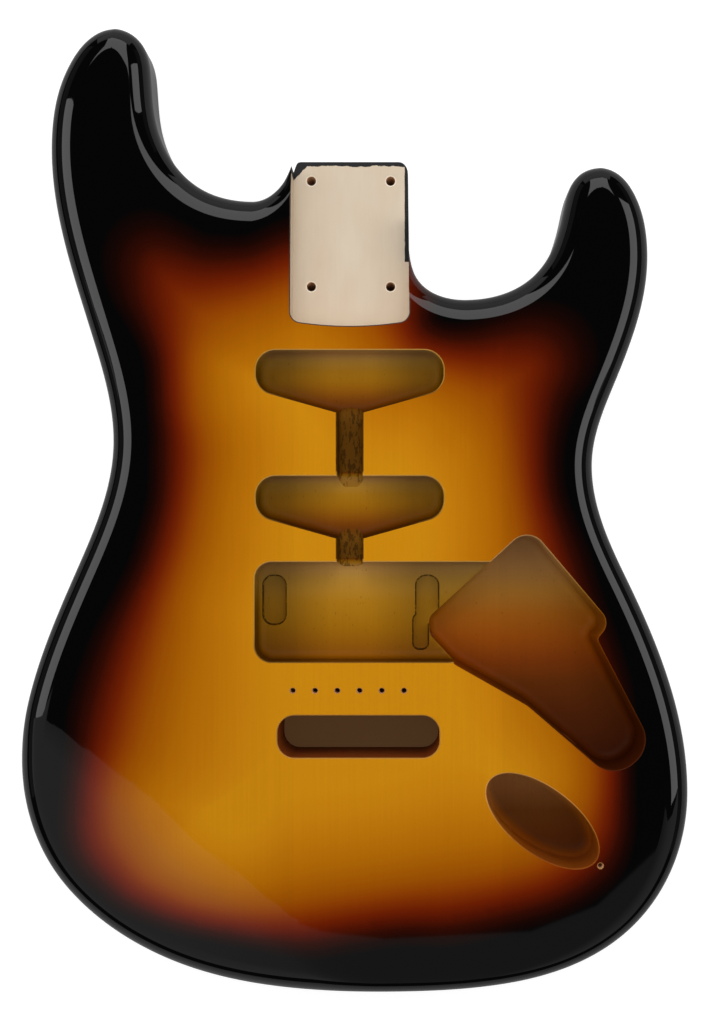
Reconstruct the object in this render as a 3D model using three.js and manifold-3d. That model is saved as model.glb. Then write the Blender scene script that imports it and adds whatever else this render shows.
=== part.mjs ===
// A bare electric guitar body: three boards glued edge to edge, shaped, rounded over and routed.
// Millimetres. The body lies on its back with +Z up, its neck end towards +Y and its treble
// side towards +X. The origin is under the middle of its outline, at the height of its back.

import * as THREE from 'three';
import { mergeVertices } from 'three/addons/utils/BufferGeometryUtils.js';
import Module from 'manifold-3d';

const wasm = await Module();
wasm.setup();

// The blank
const bodyLength = 460;
const bodyWidth = 319;
const bodyThickness = 44;
const edgeRadius = 12.5;
const heelEdgeRadius = 1.6;
const centreBoardWidth = 98.5;
const centreBoardBassX = 26.4;
const glueLine = 0.2;

// The string centreline, and the bridge line where the six bridge screws stand. Every X below
// is measured from the centreline, to the side that its name says or to the treble side.
const centrelineX = -1.6;
const bridgeLineY = -85.2;

// Forearm bevel on the top and belly bevel on the back, both on the bass side
const forearmSlope = 0.19;
const forearmSoftening = 16;
const bellySlope = 0.28;

// Neck pocket, how far its closed end stands from the bridge line and from the heel's end, and
// its four bolt holes
const pocketWidth = 56;
const pocketTaper = 0.8;
const pocketDepth = 16;
const pocketFromBridge = 174.6;
const pocketLength = 78.3;
const pocketCrown = 2;
const pocketCornerRadius = 5;
const boltSpacingX = 38.1;
const boltSpacingY = 50.8;
const boltsFromPocketEnd = 43.8;
const boltHoleDiameter = 4.5;

// Pickup cavities and the wire channels that join them
const pickupWidth = 88.5;
const pickupHeight = 29;
const pickupEndHeight = 18.3;
const pickupPointWidth = 12;
const pickupCornerRadius = 9.2;
const pickupPointRadius = 6;
const pickupDepth = 19;
const neckPickupFromBridge = 160.6;
const middlePickupFromBridge = 101.2;
const channelWidth = 12;
const channelDepth = 20.5;
const cavityFillet = 5.2;
const channelFillet = 3;

// Bridge pickup cavity, with the pockets for the pickup's two mounting ears
const bridgeCavityBassX = 44.8;
const bridgeCavityHeight = 47;
const bridgeCavityFromBridge = 60.6;
const bridgeCavityReach = 75.6;
const bridgeCavityDepth = 20;
const bridgeCornerRadius = 7.8;
const earWidth = 11.8;
const earHeight = 24.5;
const earDepth = 3.5;
const earTopInset = 6.1;
const bassEarX = 37.1;
const trebleEarX = 36.7;
const earReliefWidth = 8.2;
const earReliefHeight = 18;
const earReliefShiftX = 3.2;
const earReliefShiftY = 18.5;
const earFillet = 1.2;

// Control cavity: its corners lie in a frame that starts at its bass side and its neck end
const controlWidth = 104.8;
const controlHeight = 118.7;
const controlBassX = 37.5;
const controlFromBridge = 77;
const controlFloor = 6.5;
const controlCornerRadius = 13.3;
const controlFillet = 5;

// Jack cavity and the plate's screw hole beside it
const jackLength = 62.2;
const jackBreadth = 30.4;
const jackTiltDegrees = 37.2;
const jackX = 90.9;
const jackBelowBridgeLine = 61.4;
const jackFloor = 11;
const jackFillet = 6;
const jackScrewDistance = 34.6;
const jackScrewAngleDegrees = 37.7;

// Bridge screw holes, the slot for the bridge block, and the spring cavity on the back, which
// leaves a roof of wood under the bridge cavity
const bridgeScrewSpacing = 10.5;
const bridgeScrewHoles = 6;
const bridgeScrewDepth = 25;
const bridgeScrewShiftX = -0.6;
const smallHoleDiameter = 2.4;
const slotWidth = 76.4;
const slotHeight = 19.8;
const slotShiftX = 4.1;
const slotBelowBridgeLine = 21.7;
const slotCornerRadius = 8;
const springWidth = 58;
const springLength = 124;
const springRoof = 8;
const springCornerRadius = 8;
const springFillet = 3;

// Drilled ways for the wires: controls to jack, and controls to springs
const jackWireDiameter = 9;
const groundWireDiameter = 5;
const wireHoleHeight = 17;

// Fineness of the faceted surfaces, and how far a cutter runs past what it cuts
const outlineSteps = 5;
const edgeSteps = 5;
const bendSteps = 3;
const cornerSteps = 4;
const ovalSteps = 14;
const filletSteps = 3;
const holeSides = 12;
const overrun = 6;

// Places that follow from the sizes above
const pocketEndY = bridgeLineY + pocketFromBridge;
const bridgeCavityY = bridgeLineY + bridgeCavityFromBridge;
const controlNeckY = bridgeLineY + controlFromBridge;
const jackY = bridgeLineY - jackBelowBridgeLine;
const bridgeCavityUnderside = bodyThickness - bridgeCavityDepth;
const springDepth = bridgeCavityUnderside - springRoof;

// The two frames that outline places are shares of: the body's half width and half length
// about its middle, and for the heel the pocket's half width and its length to the heel's end
const bodyFrame = { x: 0, y: 0, width: bodyWidth / 2, length: bodyLength / 2 };
const heelFrame = { x: centrelineX, y: pocketEndY, width: pocketWidth / 2, length: pocketLength };

// The outline, seen from above and counter-clockwise from the bass horn's tip, up to the
// treble cutaway, along the heel, and back from the bass cutaway. Each row holds shares of the
// frame's width and length, a heading in degrees on the square that those shares span, and how
// much of the full edge radius the edge has there.
const trebleSideShares = [
  [-0.715, 1, 180, 1], [-0.771, 0.989, 201.8, 1], [-0.861, 0.9125, 235.5, 1],
  [-0.906, 0.749, 270, 1], [-0.79, 0.375, 294.1, 1], [-0.721, 0.145, 270, 1],
  [-0.851, -0.155, 237.9, 1], [-1, -0.535, 270, 1], [-0.875, -0.788, 320.1, 1],
  [-0.569, -0.939, 344, 1], [0.004, -1, 0, 1], [0.4625, -0.982, 6.7, 1],
  [0.8045, -0.883, 29.8, 1], [1, -0.585, 90, 1], [0.8165, -0.14, 125.1, 1],
  [0.7135, 0.093, 90, 1], [0.7745, 0.253, 59, 1], [0.88, 0.527, 90, 1],
  [0.8365, 0.663, 129.2, 1], [0.79, 0.7, 154.9, 1], [0.7365, 0.712, 180, 1],
  [0.682, 0.7005, 205.1, 1], [0.642, 0.662, 242.9, 1], [0.63, 0.631, 252.3, 1],
  [0.6155, 0.587, 248.2, 1], [0.5795, 0.523, 228.5, 1], [0.5195, 0.4765, 207.6, 1],
  [0.3305, 0.438, 180, 1],
];
const heelShares = [
  [1.088, 0.303, 141.2, 0.8], [0.994, 0.48, 90, 0.1], [0.98, 0.925, 90, 0],
  [0.778, 1, 180, 0], [-0.812, 1, 180, 0], [-0.968, 0.953, 217.5, 0],
  [-1.128, 0.85, 205.4, 0.5],
];
const bassCutawayShares = [
  [-0.2995, 0.642, 180, 1], [-0.4735, 0.6755, 154.1, 1], [-0.5975, 0.82, 104.3, 1],
  [-0.61, 0.9115, 97.2, 1], [-0.6455, 0.978, 144.3, 1],
];

// The most that a round may take of the room that it has, and the least turn in radians that
// counts as a bend
const tightestBendShare = 0.9;
const slightestTurn = 1e-3;

// The forearm bevel starts along a line between two places, given in the same shares. The
// belly bevel is bounded by three such lines.
const forearmLineShares = [[-0.95, -0.42], [-0.1, -0.9]];
const bellyLineShares = [
  [[-0.37, 0.22], [-0.87, 0.72]],
  [[-0.37, 0.04], [-0.37, 0.22]],
  [[-0.87, -0.4], [-0.37, 0.04]],
];

// Corners of the control cavity, as shares of its width and height, with a round as a share of
// its corner radius
const controlCornerShares = [
  [0.4475, 0, 0.68], [0.81, 0.378, 0.49], [0.75, 0.443, 0.24], [1, 0.8685, 1],
  [0.833, 1, 1], [0.4455, 0.705, 1.58], [0.119, 0.542, 0.44], [0.004, 0.434, 0.44],
  [0, 0.364, 0.44],
];

// The outline as a chain of curves that run from one row's heading into the next row's, as
// near as they can to arcs
function placeIn(frame, [xShare, yShare]) {
  return new THREE.Vector2(
    frame.x + xShare * frame.width, frame.y + yShare * frame.length);
}

function knotsIn(frame, rows) {
  return rows.map(([xShare, yShare, degrees, roundShare]) => {
    const angle = THREE.MathUtils.degToRad(degrees);
    return {
      place: placeIn(frame, [xShare, yShare]),
      heading: new THREE.Vector2(
        frame.width * Math.cos(angle), frame.length * Math.sin(angle)).normalize(),
      roundShare,
    };
  });
}

function arcLikeCurve(from, to) {
  const turn = Math.atan2(from.heading.cross(to.heading), from.heading.dot(to.heading));
  const chord = from.place.distanceTo(to.place);
  const bend = Math.max(Math.abs(turn), slightestTurn);
  const handle = 4 / 3 * Math.tan(bend / 4) * chord / (2 * Math.sin(bend / 2));
  const leave = from.place.clone().addScaledVector(from.heading, handle);
  const arrive = to.place.clone().addScaledVector(to.heading, -handle);
  return new THREE.CubicBezierCurve(from.place, leave, arrive, to.place);
}

function outlineSamples() {
  const samples = [];
  const knots = [
    ...knotsIn(bodyFrame, trebleSideShares), ...knotsIn(heelFrame, heelShares),
    ...knotsIn(bodyFrame, bassCutawayShares),
  ];
  knots.forEach((knot, index) => {
    const next = knots[(index + 1) % knots.length];
    const curve = arcLikeCurve(knot, next);
    for (let step = 0; step < outlineSteps; step += 1) {
      const t = step / outlineSteps;
      const tangent = curve.getTangent(t);
      const share = THREE.MathUtils.lerp(knot.roundShare, next.roundShare, t);
      samples.push({
        point: curve.getPoint(t),
        outward: new THREE.Vector2(tangent.y, -tangent.x),
        radius: THREE.MathUtils.lerp(heelEdgeRadius, edgeRadius, share),
      });
    }
  });
  return samples.map((sample) => ({ ...sample, radius: radiusThatFits(sample, samples) }));
}

// An edge can't be rounded by more than the circle that touches the outline there and lies
// inside it, nor by half the thickness.
function radiusThatFits({ point, outward, radius }, samples) {
  const room = samples.reduce((least, other) => {
    const across = point.clone().sub(other.point);
    const inward = across.dot(outward);
    return inward > 0 ? Math.min(least, across.lengthSq() / (2 * inward)) : least;
  }, bodyThickness / 2);
  return Math.min(radius, tightestBendShare * room);
}

const outline = outlineSamples();

// A plane given by its height over the origin and how it rises along X and Y
function heightAt(plane, point) {
  return plane.height + plane.riseX * point.x + plane.riseY * point.y;
}

const topPlane = { height: bodyThickness, riseX: 0, riseY: 0 };
const backPlane = { height: 0, riseX: 0, riseY: 0 };
const beyondTop = { height: bodyThickness + overrun, riseX: 0, riseY: 0 };
const beyondBack = { height: -overrun, riseX: 0, riseY: 0 };

// The plane that leaves a level face along a line of two places. The face keeps its height on
// the left of the line, and on the right it rises by the slope for each millimetre.
function planeFromLine(lineShares, level, slope, distance) {
  const [start, end] = lineShares.map((share) => placeIn(bodyFrame, share));
  const along = end.clone().sub(start).normalize();
  const right = new THREE.Vector2(along.y, -along.x);
  const origin = start.clone().addScaledVector(right, distance);
  return {
    height: level - slope * right.dot(origin),
    riseX: slope * right.x,
    riseY: slope * right.y,
  };
}

// A closed body between two planes, whose rounded edges follow both planes
function blankBetween(top, back) {
  const rings = [];
  for (let step = 0; step <= edgeSteps; step += 1) {
    const angle = step / edgeSteps * Math.PI / 2;
    rings.push({ plane: back, side: 1, inset: 1 - Math.sin(angle), depth: 1 - Math.cos(angle) });
  }
  for (let step = edgeSteps; step >= 0; step -= 1) {
    const angle = step / edgeSteps * Math.PI / 2;
    rings.push({ plane: top, side: -1, inset: 1 - Math.sin(angle), depth: 1 - Math.cos(angle) });
  }
  const positions = [];
  for (const ring of rings) {
    for (const { point, outward, radius } of outline) {
      const place = point.clone().addScaledVector(outward, -radius * ring.inset);
      const height = heightAt(ring.plane, place) + ring.side * radius * ring.depth;
      positions.push(place.x, place.y, height);
    }
  }
  const count = outline.length;
  const faces = [];
  for (let ring = 0; ring < rings.length - 1; ring += 1) {
    for (let index = 0; index < count; index += 1) {
      const next = (index + 1) % count;
      const low = ring * count;
      const high = low + count;
      faces.push(low + index, low + next, high + next);
      faces.push(low + index, high + next, high + index);
    }
  }
  const rim = outline.map(({ point, outward, radius }) => (
    point.clone().addScaledVector(outward, -radius)));
  const lastRing = (rings.length - 1) * count;
  for (const [a, b, c] of THREE.ShapeUtils.triangulateShape(rim, [])) {
    faces.push(lastRing + a, lastRing + b, lastRing + c);
    faces.push(a, c, b);
  }
  const geometry = new THREE.BufferGeometry();
  geometry.setAttribute('position', new THREE.Float32BufferAttribute(positions, 3));
  geometry.setIndex(faces);
  return geometry;
}

// Conversions between three.js geometry and boolean solids
function solidOf(geometry) {
  const bare = geometry.clone();
  bare.deleteAttribute('normal');
  bare.deleteAttribute('uv');
  const merged = mergeVertices(bare);
  return new wasm.Manifold(new wasm.Mesh({
    numProp: 3,
    vertProperties: new Float32Array(merged.attributes.position.array),
    triVerts: new Uint32Array(merged.index.array),
  }));
}

// Vertices that lie on a seam are set exactly on it, so that neighbours meet face to face.
function geometryOf(solid, seams) {
  const mesh = solid.getMesh();
  const positions = new Float32Array(mesh.vertProperties);
  const reach = glueLine / 100;
  for (let index = 0; index < positions.length; index += 3) {
    const seam = seams.find((x) => Math.abs(positions[index] - x) < reach);
    if (seam !== undefined) {
      positions[index] = seam;
    }
  }
  const geometry = new THREE.BufferGeometry();
  geometry.setAttribute('position', new THREE.BufferAttribute(positions, 3));
  geometry.setIndex(new THREE.BufferAttribute(new Uint32Array(mesh.triVerts), 1));
  geometry.computeVertexNormals();
  return geometry;
}

// The shaped blank: flat faces and rounded edges, with the forearm bevel cut off the top and
// the belly bevel off the back
function shapedBlank() {
  let blank = solidOf(blankBetween(topPlane, backPlane));
  const bendWidth = forearmSoftening / bendSteps;
  let level = bodyThickness;
  for (let step = 0; step < bendSteps; step += 1) {
    const slope = forearmSlope * (step + 1) / bendSteps;
    const plane = planeFromLine(forearmLineShares, level, -slope, step * bendWidth);
    blank = blank.intersect(solidOf(blankBetween(plane, beyondBack)));
    level -= slope * bendWidth;
  }
  const bellySides = bellyLineShares.map((line) => (
    solidOf(blankBetween(beyondTop, planeFromLine(line, 0, -bellySlope, 0)))));
  const belly = bellySides.reduce((joined, side) => joined.add(side));
  return blank.intersect(belly);
}

// A closed shape through corners, each given as x, y and the radius of its round. A round
// takes no more of a side than its share, and tightest is the least radius of a corner that
// bulges out.
function roundedShape(corners) {
  const bends = corners.map(([x, y, radius], index) => {
    const corner = new THREE.Vector2(x, y);
    const before = corners[(index + corners.length - 1) % corners.length];
    const after = corners[(index + 1) % corners.length];
    const arrive = corner.clone().sub(new THREE.Vector2(before[0], before[1]));
    const leave = new THREE.Vector2(after[0], after[1]).sub(corner);
    const sideLength = leave.length();
    arrive.normalize();
    leave.normalize();
    const turn = Math.atan2(arrive.cross(leave), arrive.dot(leave));
    return { corner, arrive, turn, sideLength, tangent: radius * Math.tan(Math.abs(turn) / 2) };
  });
  const area = corners.reduce((sum, [x, y], index) => {
    const after = corners[(index + 1) % corners.length];
    return sum + x * after[1] - after[0] * y;
  }, 0);
  const shape = new THREE.Shape();
  let tightest = Infinity;
  bends.forEach(({ corner, arrive, turn, sideLength, tangent }, index) => {
    const before = bends[(index + bends.length - 1) % bends.length];
    const after = bends[(index + 1) % bends.length];
    const room = Math.min(
      1, sideLength / (tangent + after.tangent), before.sideLength / (tangent + before.tangent));
    const radius = room * tangent / Math.tan(Math.abs(turn) / 2);
    const side = Math.sign(turn);
    if (side * area > 0) {
      tightest = Math.min(tightest, radius);
    }
    const start = corner.clone().addScaledVector(arrive, -room * tangent);
    const centre = start.clone().add(new THREE.Vector2(-arrive.y, arrive.x)
      .multiplyScalar(side * radius));
    const startAngle = Math.atan2(start.y - centre.y, start.x - centre.x);
    if (index === 0) {
      shape.moveTo(start.x, start.y);
    } else {
      shape.lineTo(start.x, start.y);
    }
    shape.absarc(centre.x, centre.y, radius, startAngle, startAngle + turn, side < 0);
  });
  shape.closePath();
  return { shape, tightest };
}

function roundedBox(xMin, xMax, yMin, yMax, radius) {
  return roundedShape([
    [xMin, yMin, radius], [xMax, yMin, radius], [xMax, yMax, radius], [xMin, yMax, radius],
  ]);
}

// A cutter with a filleted floor, which runs from the floor's height to past the open face.
// The fillet stays tighter than the walls' own corners.
function cavityFromTop({ shape, tightest }, depth, floorFillet, curveSegments = cornerSteps) {
  const fillet = Math.min(floorFillet, tightestBendShare * tightest);
  const height = depth + overrun;
  const geometry = new THREE.ExtrudeGeometry(shape, {
    depth: height - 2 * fillet,
    curveSegments,
    bevelSize: fillet,
    bevelOffset: -fillet,
    bevelThickness: fillet,
    bevelSegments: filletSteps,
  });
  geometry.translate(0, 0, bodyThickness - depth + fillet);
  return geometry;
}

function cavityFromBack(outlined, depth, fillet) {
  const geometry = cavityFromTop(outlined, depth, fillet);
  geometry.translate(0, 0, depth - bodyThickness - overrun);
  return geometry;
}

function straightHole(x, y, diameter, zMin, zMax) {
  const geometry = new THREE.CylinderGeometry(
    diameter / 2, diameter / 2, zMax - zMin, holeSides);
  geometry.rotateX(Math.PI / 2);
  geometry.translate(x, y, (zMin + zMax) / 2);
  return geometry;
}

function slantedHole(start, end, diameter) {
  const way = end.clone().sub(start);
  const geometry = new THREE.CylinderGeometry(
    diameter / 2, diameter / 2, way.length(), holeSides);
  geometry.applyQuaternion(new THREE.Quaternion().setFromUnitVectors(
    new THREE.Vector3(0, 1, 0), way.clone().normalize()));
  const middle = start.clone().add(end).multiplyScalar(1 / 2);
  geometry.translate(middle.x, middle.y, middle.z);
  return geometry;
}

// The neck pocket is open at the heel end, a little narrower there, and its closed end bows
// out towards the bridge.
function neckPocket() {
  const openY = bodyLength / 2;
  const shape = new THREE.Shape();
  const half = pocketWidth / 2;
  const openHalf = half - pocketTaper;
  shape.moveTo(centrelineX + openHalf, openY);
  shape.lineTo(centrelineX - openHalf, openY);
  shape.lineTo(centrelineX - half, pocketEndY + pocketCornerRadius);
  shape.quadraticCurveTo(
    centrelineX - half, pocketEndY, centrelineX - half + pocketCornerRadius, pocketEndY);
  shape.quadraticCurveTo(
    centrelineX, pocketEndY - 2 * pocketCrown,
    centrelineX + half - pocketCornerRadius, pocketEndY);
  shape.quadraticCurveTo(
    centrelineX + half, pocketEndY, centrelineX + half, pocketEndY + pocketCornerRadius);
  shape.closePath();
  const geometry = new THREE.ExtrudeGeometry(shape, {
    depth: pocketDepth + overrun, curveSegments: 2 * cornerSteps, bevelEnabled: false,
  });
  geometry.translate(0, 0, bodyThickness - pocketDepth);
  return geometry;
}

function boltHoles() {
  const holes = [];
  for (const xSide of [-1 / 2, 1 / 2]) {
    for (const ySide of [-1 / 2, 1 / 2]) {
      holes.push(straightHole(
        centrelineX + xSide * boltSpacingX,
        pocketEndY + boltsFromPocketEnd + ySide * boltSpacingY,
        boltHoleDiameter, -overrun, bodyThickness));
    }
  }
  return holes;
}

// A pickup cavity: straight towards the neck, round at both ends, and drawn to a blunt point
// towards the bridge
function pickupCavity(fromBridge) {
  const neckEdgeY = bridgeLineY + fromBridge;
  const half = pickupWidth / 2;
  const point = pickupPointWidth / 2;
  const outlined = roundedShape([
    [centrelineX + half, neckEdgeY, pickupCornerRadius],
    [centrelineX - half, neckEdgeY, pickupCornerRadius],
    [centrelineX - half, neckEdgeY - pickupEndHeight, pickupCornerRadius],
    [centrelineX - point, neckEdgeY - pickupHeight, pickupPointRadius],
    [centrelineX + point, neckEdgeY - pickupHeight, pickupPointRadius],
    [centrelineX + half, neckEdgeY - pickupEndHeight, pickupCornerRadius],
  ]);
  return cavityFromTop(outlined, pickupDepth, cavityFillet);
}

// One channel runs from the neck pickup's cavity through the middle one's to the bridge's.
function wireChannel() {
  const half = channelWidth / 2;
  const neckPickupY = bridgeLineY + neckPickupFromBridge;
  const outlined = roundedBox(
    centrelineX - half, centrelineX + half,
    bridgeCavityY - cavityFillet - channelFillet, neckPickupY - pickupHeight + cavityFillet,
    half - channelFillet / 2);
  return cavityFromTop(outlined, channelDepth, channelFillet);
}

function bridgeCavity() {
  const outlined = roundedBox(
    centrelineX - bridgeCavityBassX, centrelineX + bridgeCavityReach,
    bridgeCavityY - bridgeCavityHeight, bridgeCavityY, bridgeCornerRadius);
  return cavityFromTop(outlined, bridgeCavityDepth, cavityFillet);
}

function earPocket(x, y, width, height) {
  const outlined = roundedBox(
    x - width / 2, x + width / 2, y - height, y, width / 2 - earFillet / 2);
  return cavityFromTop(outlined, bridgeCavityDepth + earDepth, earFillet);
}

function earPockets() {
  const top = bridgeCavityY - earTopInset;
  const trebleX = centrelineX + trebleEarX;
  return [
    earPocket(centrelineX - bassEarX, top, earWidth, earHeight),
    earPocket(trebleX, top, earWidth, earHeight),
    earPocket(trebleX - earReliefShiftX, top - earReliefShiftY, earReliefWidth, earReliefHeight),
  ];
}

function controlCavity() {
  const left = centrelineX + controlBassX;
  const corners = controlCornerShares.map(([xShare, yShare, roundShare]) => [
    left + xShare * controlWidth, controlNeckY - yShare * controlHeight,
    roundShare * controlCornerRadius,
  ]);
  return cavityFromTop(roundedShape(corners), bodyThickness - controlFloor, controlFillet);
}

function jackCavity() {
  const shape = new THREE.Shape();
  shape.absellipse(
    jackX + centrelineX, jackY, jackLength / 2, jackBreadth / 2, 0, 2 * Math.PI, false,
    -THREE.MathUtils.degToRad(jackTiltDegrees));
  const tightest = jackBreadth * jackBreadth / (2 * jackLength);
  return cavityFromTop(
    { shape, tightest }, bodyThickness - jackFloor, jackFillet, ovalSteps);
}

function jackScrewHole() {
  const angle = THREE.MathUtils.degToRad(jackScrewAngleDegrees);
  return straightHole(
    centrelineX + jackX + jackScrewDistance * Math.cos(angle),
    jackY - jackScrewDistance * Math.sin(angle),
    smallHoleDiameter, bodyThickness - bridgeScrewDepth, bodyThickness + overrun);
}

function bridgeScrews() {
  const holes = [];
  for (let index = 0; index < bridgeScrewHoles; index += 1) {
    const place = index - (bridgeScrewHoles - 1) / 2;
    holes.push(straightHole(
      centrelineX + bridgeScrewShiftX + place * bridgeScrewSpacing, bridgeLineY,
      smallHoleDiameter, bodyThickness - bridgeScrewDepth, bodyThickness + overrun));
  }
  return holes;
}

// The block's slot goes right through, and the spring cavity on the back starts level with
// its far side.
function blockSlot() {
  const middleX = centrelineX + slotShiftX;
  const middleY = bridgeLineY - slotBelowBridgeLine;
  const { shape } = roundedBox(
    middleX - slotWidth / 2, middleX + slotWidth / 2,
    middleY - slotHeight / 2, middleY + slotHeight / 2, slotCornerRadius);
  const geometry = new THREE.ExtrudeGeometry(shape, {
    depth: bodyThickness + 2 * overrun, curveSegments: cornerSteps, bevelEnabled: false,
  });
  geometry.translate(0, 0, -overrun);
  return geometry;
}

function springCavity() {
  const farY = bridgeLineY - slotBelowBridgeLine - slotHeight / 2;
  const outlined = roundedBox(
    centrelineX - springWidth / 2, centrelineX + springWidth / 2,
    farY, farY + springLength, springCornerRadius);
  return cavityFromBack(outlined, springDepth, springFillet);
}

// The jack's wires pass from the control cavity's lower end to the middle of the jack cavity,
// and the ground wire from the control cavity's bass end to the spring cavity.
function wireHoles() {
  const lowerShares = controlCornerShares[4];
  const lowerX = centrelineX + controlBassX + lowerShares[0] * controlWidth;
  const lowerY = controlNeckY - lowerShares[1] * controlHeight;
  const inset = controlFillet + jackWireDiameter;
  const jackEnd = new THREE.Vector3(centrelineX + jackX, jackY, wireHoleHeight + jackWireDiameter);
  const controlEnd = new THREE.Vector3(lowerX - inset, lowerY + 2 * inset, wireHoleHeight);
  const bassShares = controlCornerShares[7];
  const bassX = centrelineX + controlBassX + bassShares[0] * controlWidth;
  const bassY = controlNeckY - bassShares[1] * controlHeight;
  const groundStart = new THREE.Vector3(bassX + inset, bassY, springDepth - groundWireDiameter);
  const groundEnd = new THREE.Vector3(
    centrelineX + springWidth / 2 - inset, bassY, springDepth - groundWireDiameter);
  return [
    slantedHole(controlEnd, jackEnd, jackWireDiameter),
    slantedHole(groundStart, groundEnd, groundWireDiameter),
  ];
}

function routedBody() {
  const cutters = [
    neckPocket(), ...boltHoles(), pickupCavity(neckPickupFromBridge),
    pickupCavity(middlePickupFromBridge), wireChannel(), bridgeCavity(), ...earPockets(),
    controlCavity(), jackCavity(),
    jackScrewHole(), ...bridgeScrews(), blockSlot(), springCavity(), ...wireHoles(),
  ];
  return cutters.reduce((body, cutter) => body.subtract(solidOf(cutter)), shapedBlank());
}

// Materials, one for each kind of surface
const lacqueredWood = new THREE.MeshStandardMaterial({
  color: 0x7a3d0e, roughness: 0.12, metalness: 0,
});
const innerLacqueredWood = new THREE.MeshStandardMaterial({
  color: 0xb9760f, roughness: 0.12, metalness: 0,
});
const driedGlue = new THREE.MeshStandardMaterial({
  color: 0x5b4320, roughness: 0.5, metalness: 0,
});

const bassSeam = centrelineX - centreBoardBassX;
const trebleSeam = bassSeam + centreBoardWidth;
const bridgeSideY = bridgeLineY - slotBelowBridgeLine;
const seams = [
  bassSeam - glueLine / 2, bassSeam + glueLine / 2,
  trebleSeam - glueLine / 2, trebleSeam + glueLine / 2,
];

// Cuts the body to what lies between two values of X, and two of Y
function slice(body, xMin, xMax, yMin = -bodyLength, yMax = bodyLength) {
  const box = new THREE.BoxGeometry(xMax - xMin, yMax - yMin, 2 * bodyThickness);
  box.translate((xMin + xMax) / 2, (yMin + yMax) / 2, bodyThickness / 2);
  const position = box.attributes.position;
  for (let index = 0; index < position.count; index += 1) {
    position.setX(index, position.getX(index) < (xMin + xMax) / 2 ? xMin : xMax);
  }
  return body.intersect(solidOf(box));
}

function piece(name, solid, material) {
  const mesh = new THREE.Mesh(geometryOf(solid, seams), material);
  mesh.name = name;
  return mesh;
}

const body = routedBody();
const guitarBody = new THREE.Group();
guitarBody.add(
  piece('bass_board', slice(body, -bodyWidth, seams[0]), lacqueredWood),
  piece('centre_board', slice(body, seams[1], seams[2]), innerLacqueredWood),
  piece('treble_board', slice(body, seams[3], bodyWidth), lacqueredWood),
  piece('bass_glue_line_front', slice(body, seams[0], seams[1], bridgeSideY), driedGlue),
  piece('bass_glue_line_tail', slice(body, seams[0], seams[1], -bodyLength, bridgeSideY),
    driedGlue),
  piece('treble_glue_line', slice(body, seams[2], seams[3]), driedGlue),
);

export default guitarBody;
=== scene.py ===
"""The looks of a bare electric guitar body: sunburst lacquer over three glued boards.

The meshes are drawn in millimetres, in the frame of the solids, and become metres at the end.
The body is swept from its outline, routed with cutters and sawn along its two glue seams.
"""
import logging
import math
from dataclasses import dataclass, field
from enum import Enum
from typing import Iterable, Sequence

import bmesh
import bpy
import numpy as np
from mathutils import Matrix, Vector
from mathutils.kdtree import KDTree


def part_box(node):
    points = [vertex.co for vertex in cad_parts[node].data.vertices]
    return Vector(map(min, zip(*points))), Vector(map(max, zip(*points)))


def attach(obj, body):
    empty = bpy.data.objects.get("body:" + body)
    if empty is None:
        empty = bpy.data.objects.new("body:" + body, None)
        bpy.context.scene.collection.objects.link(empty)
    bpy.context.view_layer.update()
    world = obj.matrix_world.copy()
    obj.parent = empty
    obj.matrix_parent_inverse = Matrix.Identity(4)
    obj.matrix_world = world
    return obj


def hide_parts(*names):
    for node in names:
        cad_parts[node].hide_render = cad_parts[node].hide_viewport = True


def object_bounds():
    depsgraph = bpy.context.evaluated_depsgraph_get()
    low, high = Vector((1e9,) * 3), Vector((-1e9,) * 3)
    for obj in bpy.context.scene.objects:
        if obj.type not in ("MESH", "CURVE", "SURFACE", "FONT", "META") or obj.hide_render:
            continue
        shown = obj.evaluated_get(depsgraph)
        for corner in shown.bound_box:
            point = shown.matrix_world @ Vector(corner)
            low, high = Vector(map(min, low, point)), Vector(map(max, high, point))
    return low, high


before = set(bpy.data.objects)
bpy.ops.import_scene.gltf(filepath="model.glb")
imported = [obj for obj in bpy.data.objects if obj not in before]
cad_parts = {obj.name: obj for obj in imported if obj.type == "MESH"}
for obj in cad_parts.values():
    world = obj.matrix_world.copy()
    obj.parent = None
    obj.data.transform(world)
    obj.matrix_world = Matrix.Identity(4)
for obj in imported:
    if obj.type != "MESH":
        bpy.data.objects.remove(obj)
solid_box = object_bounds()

log = logging.getLogger("guitar_body")

MM = 0.001
BODY = "root"
PRINCIPLED = "BSDF_PRINCIPLED"
BLACK = (0.0, 0.0, 0.0, 1.0)
ON_THE_LINE = 1e-4       # millimetres from a cutting line that still count as on it
LEAST_INWARD = 1e-9      # millimetres inside a tangent, under which a point sets no limit

Pair = tuple[float, float]
Pairs = tuple[Pair, ...]
Shade = tuple[float, float, float, float]
Colour = tuple[int, int, int]
Stops = tuple[tuple[float, Colour], ...]


class Face(Enum):
    """The face that a cutter enters from."""

    TOP = 1
    BACK = -1


class Slot(Enum):
    """The kinds of surface on a board, in the order of its material slots."""

    OUTSIDE = 0
    CAVITY = 1
    BARE = 2
    DRILLED = 3
    CHANNEL = 4
    CONTROL = 5
    JACK = 6
    PORT = 7


# Shapes drawn on the flat


def unit(vectors: np.ndarray) -> np.ndarray:
    """Scales rows of vectors to a length of one.

    Args:
        vectors: Rows of vectors.

    Returns:
        The rows, each with a length of one.
    """
    return vectors / np.linalg.norm(vectors, axis=-1, keepdims=True)


def outward_of(places: np.ndarray) -> np.ndarray:
    """Works out which way is out at each point of a counter-clockwise loop.

    Args:
        places: The loop's points.

    Returns:
        A unit vector for each point, square to the loop there.
    """
    along = unit(np.roll(places, -1, axis=0) - places)
    both = unit(along + np.roll(along, 1, axis=0))
    return np.stack([both[:, 1], -both[:, 0]], axis=1)


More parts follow.
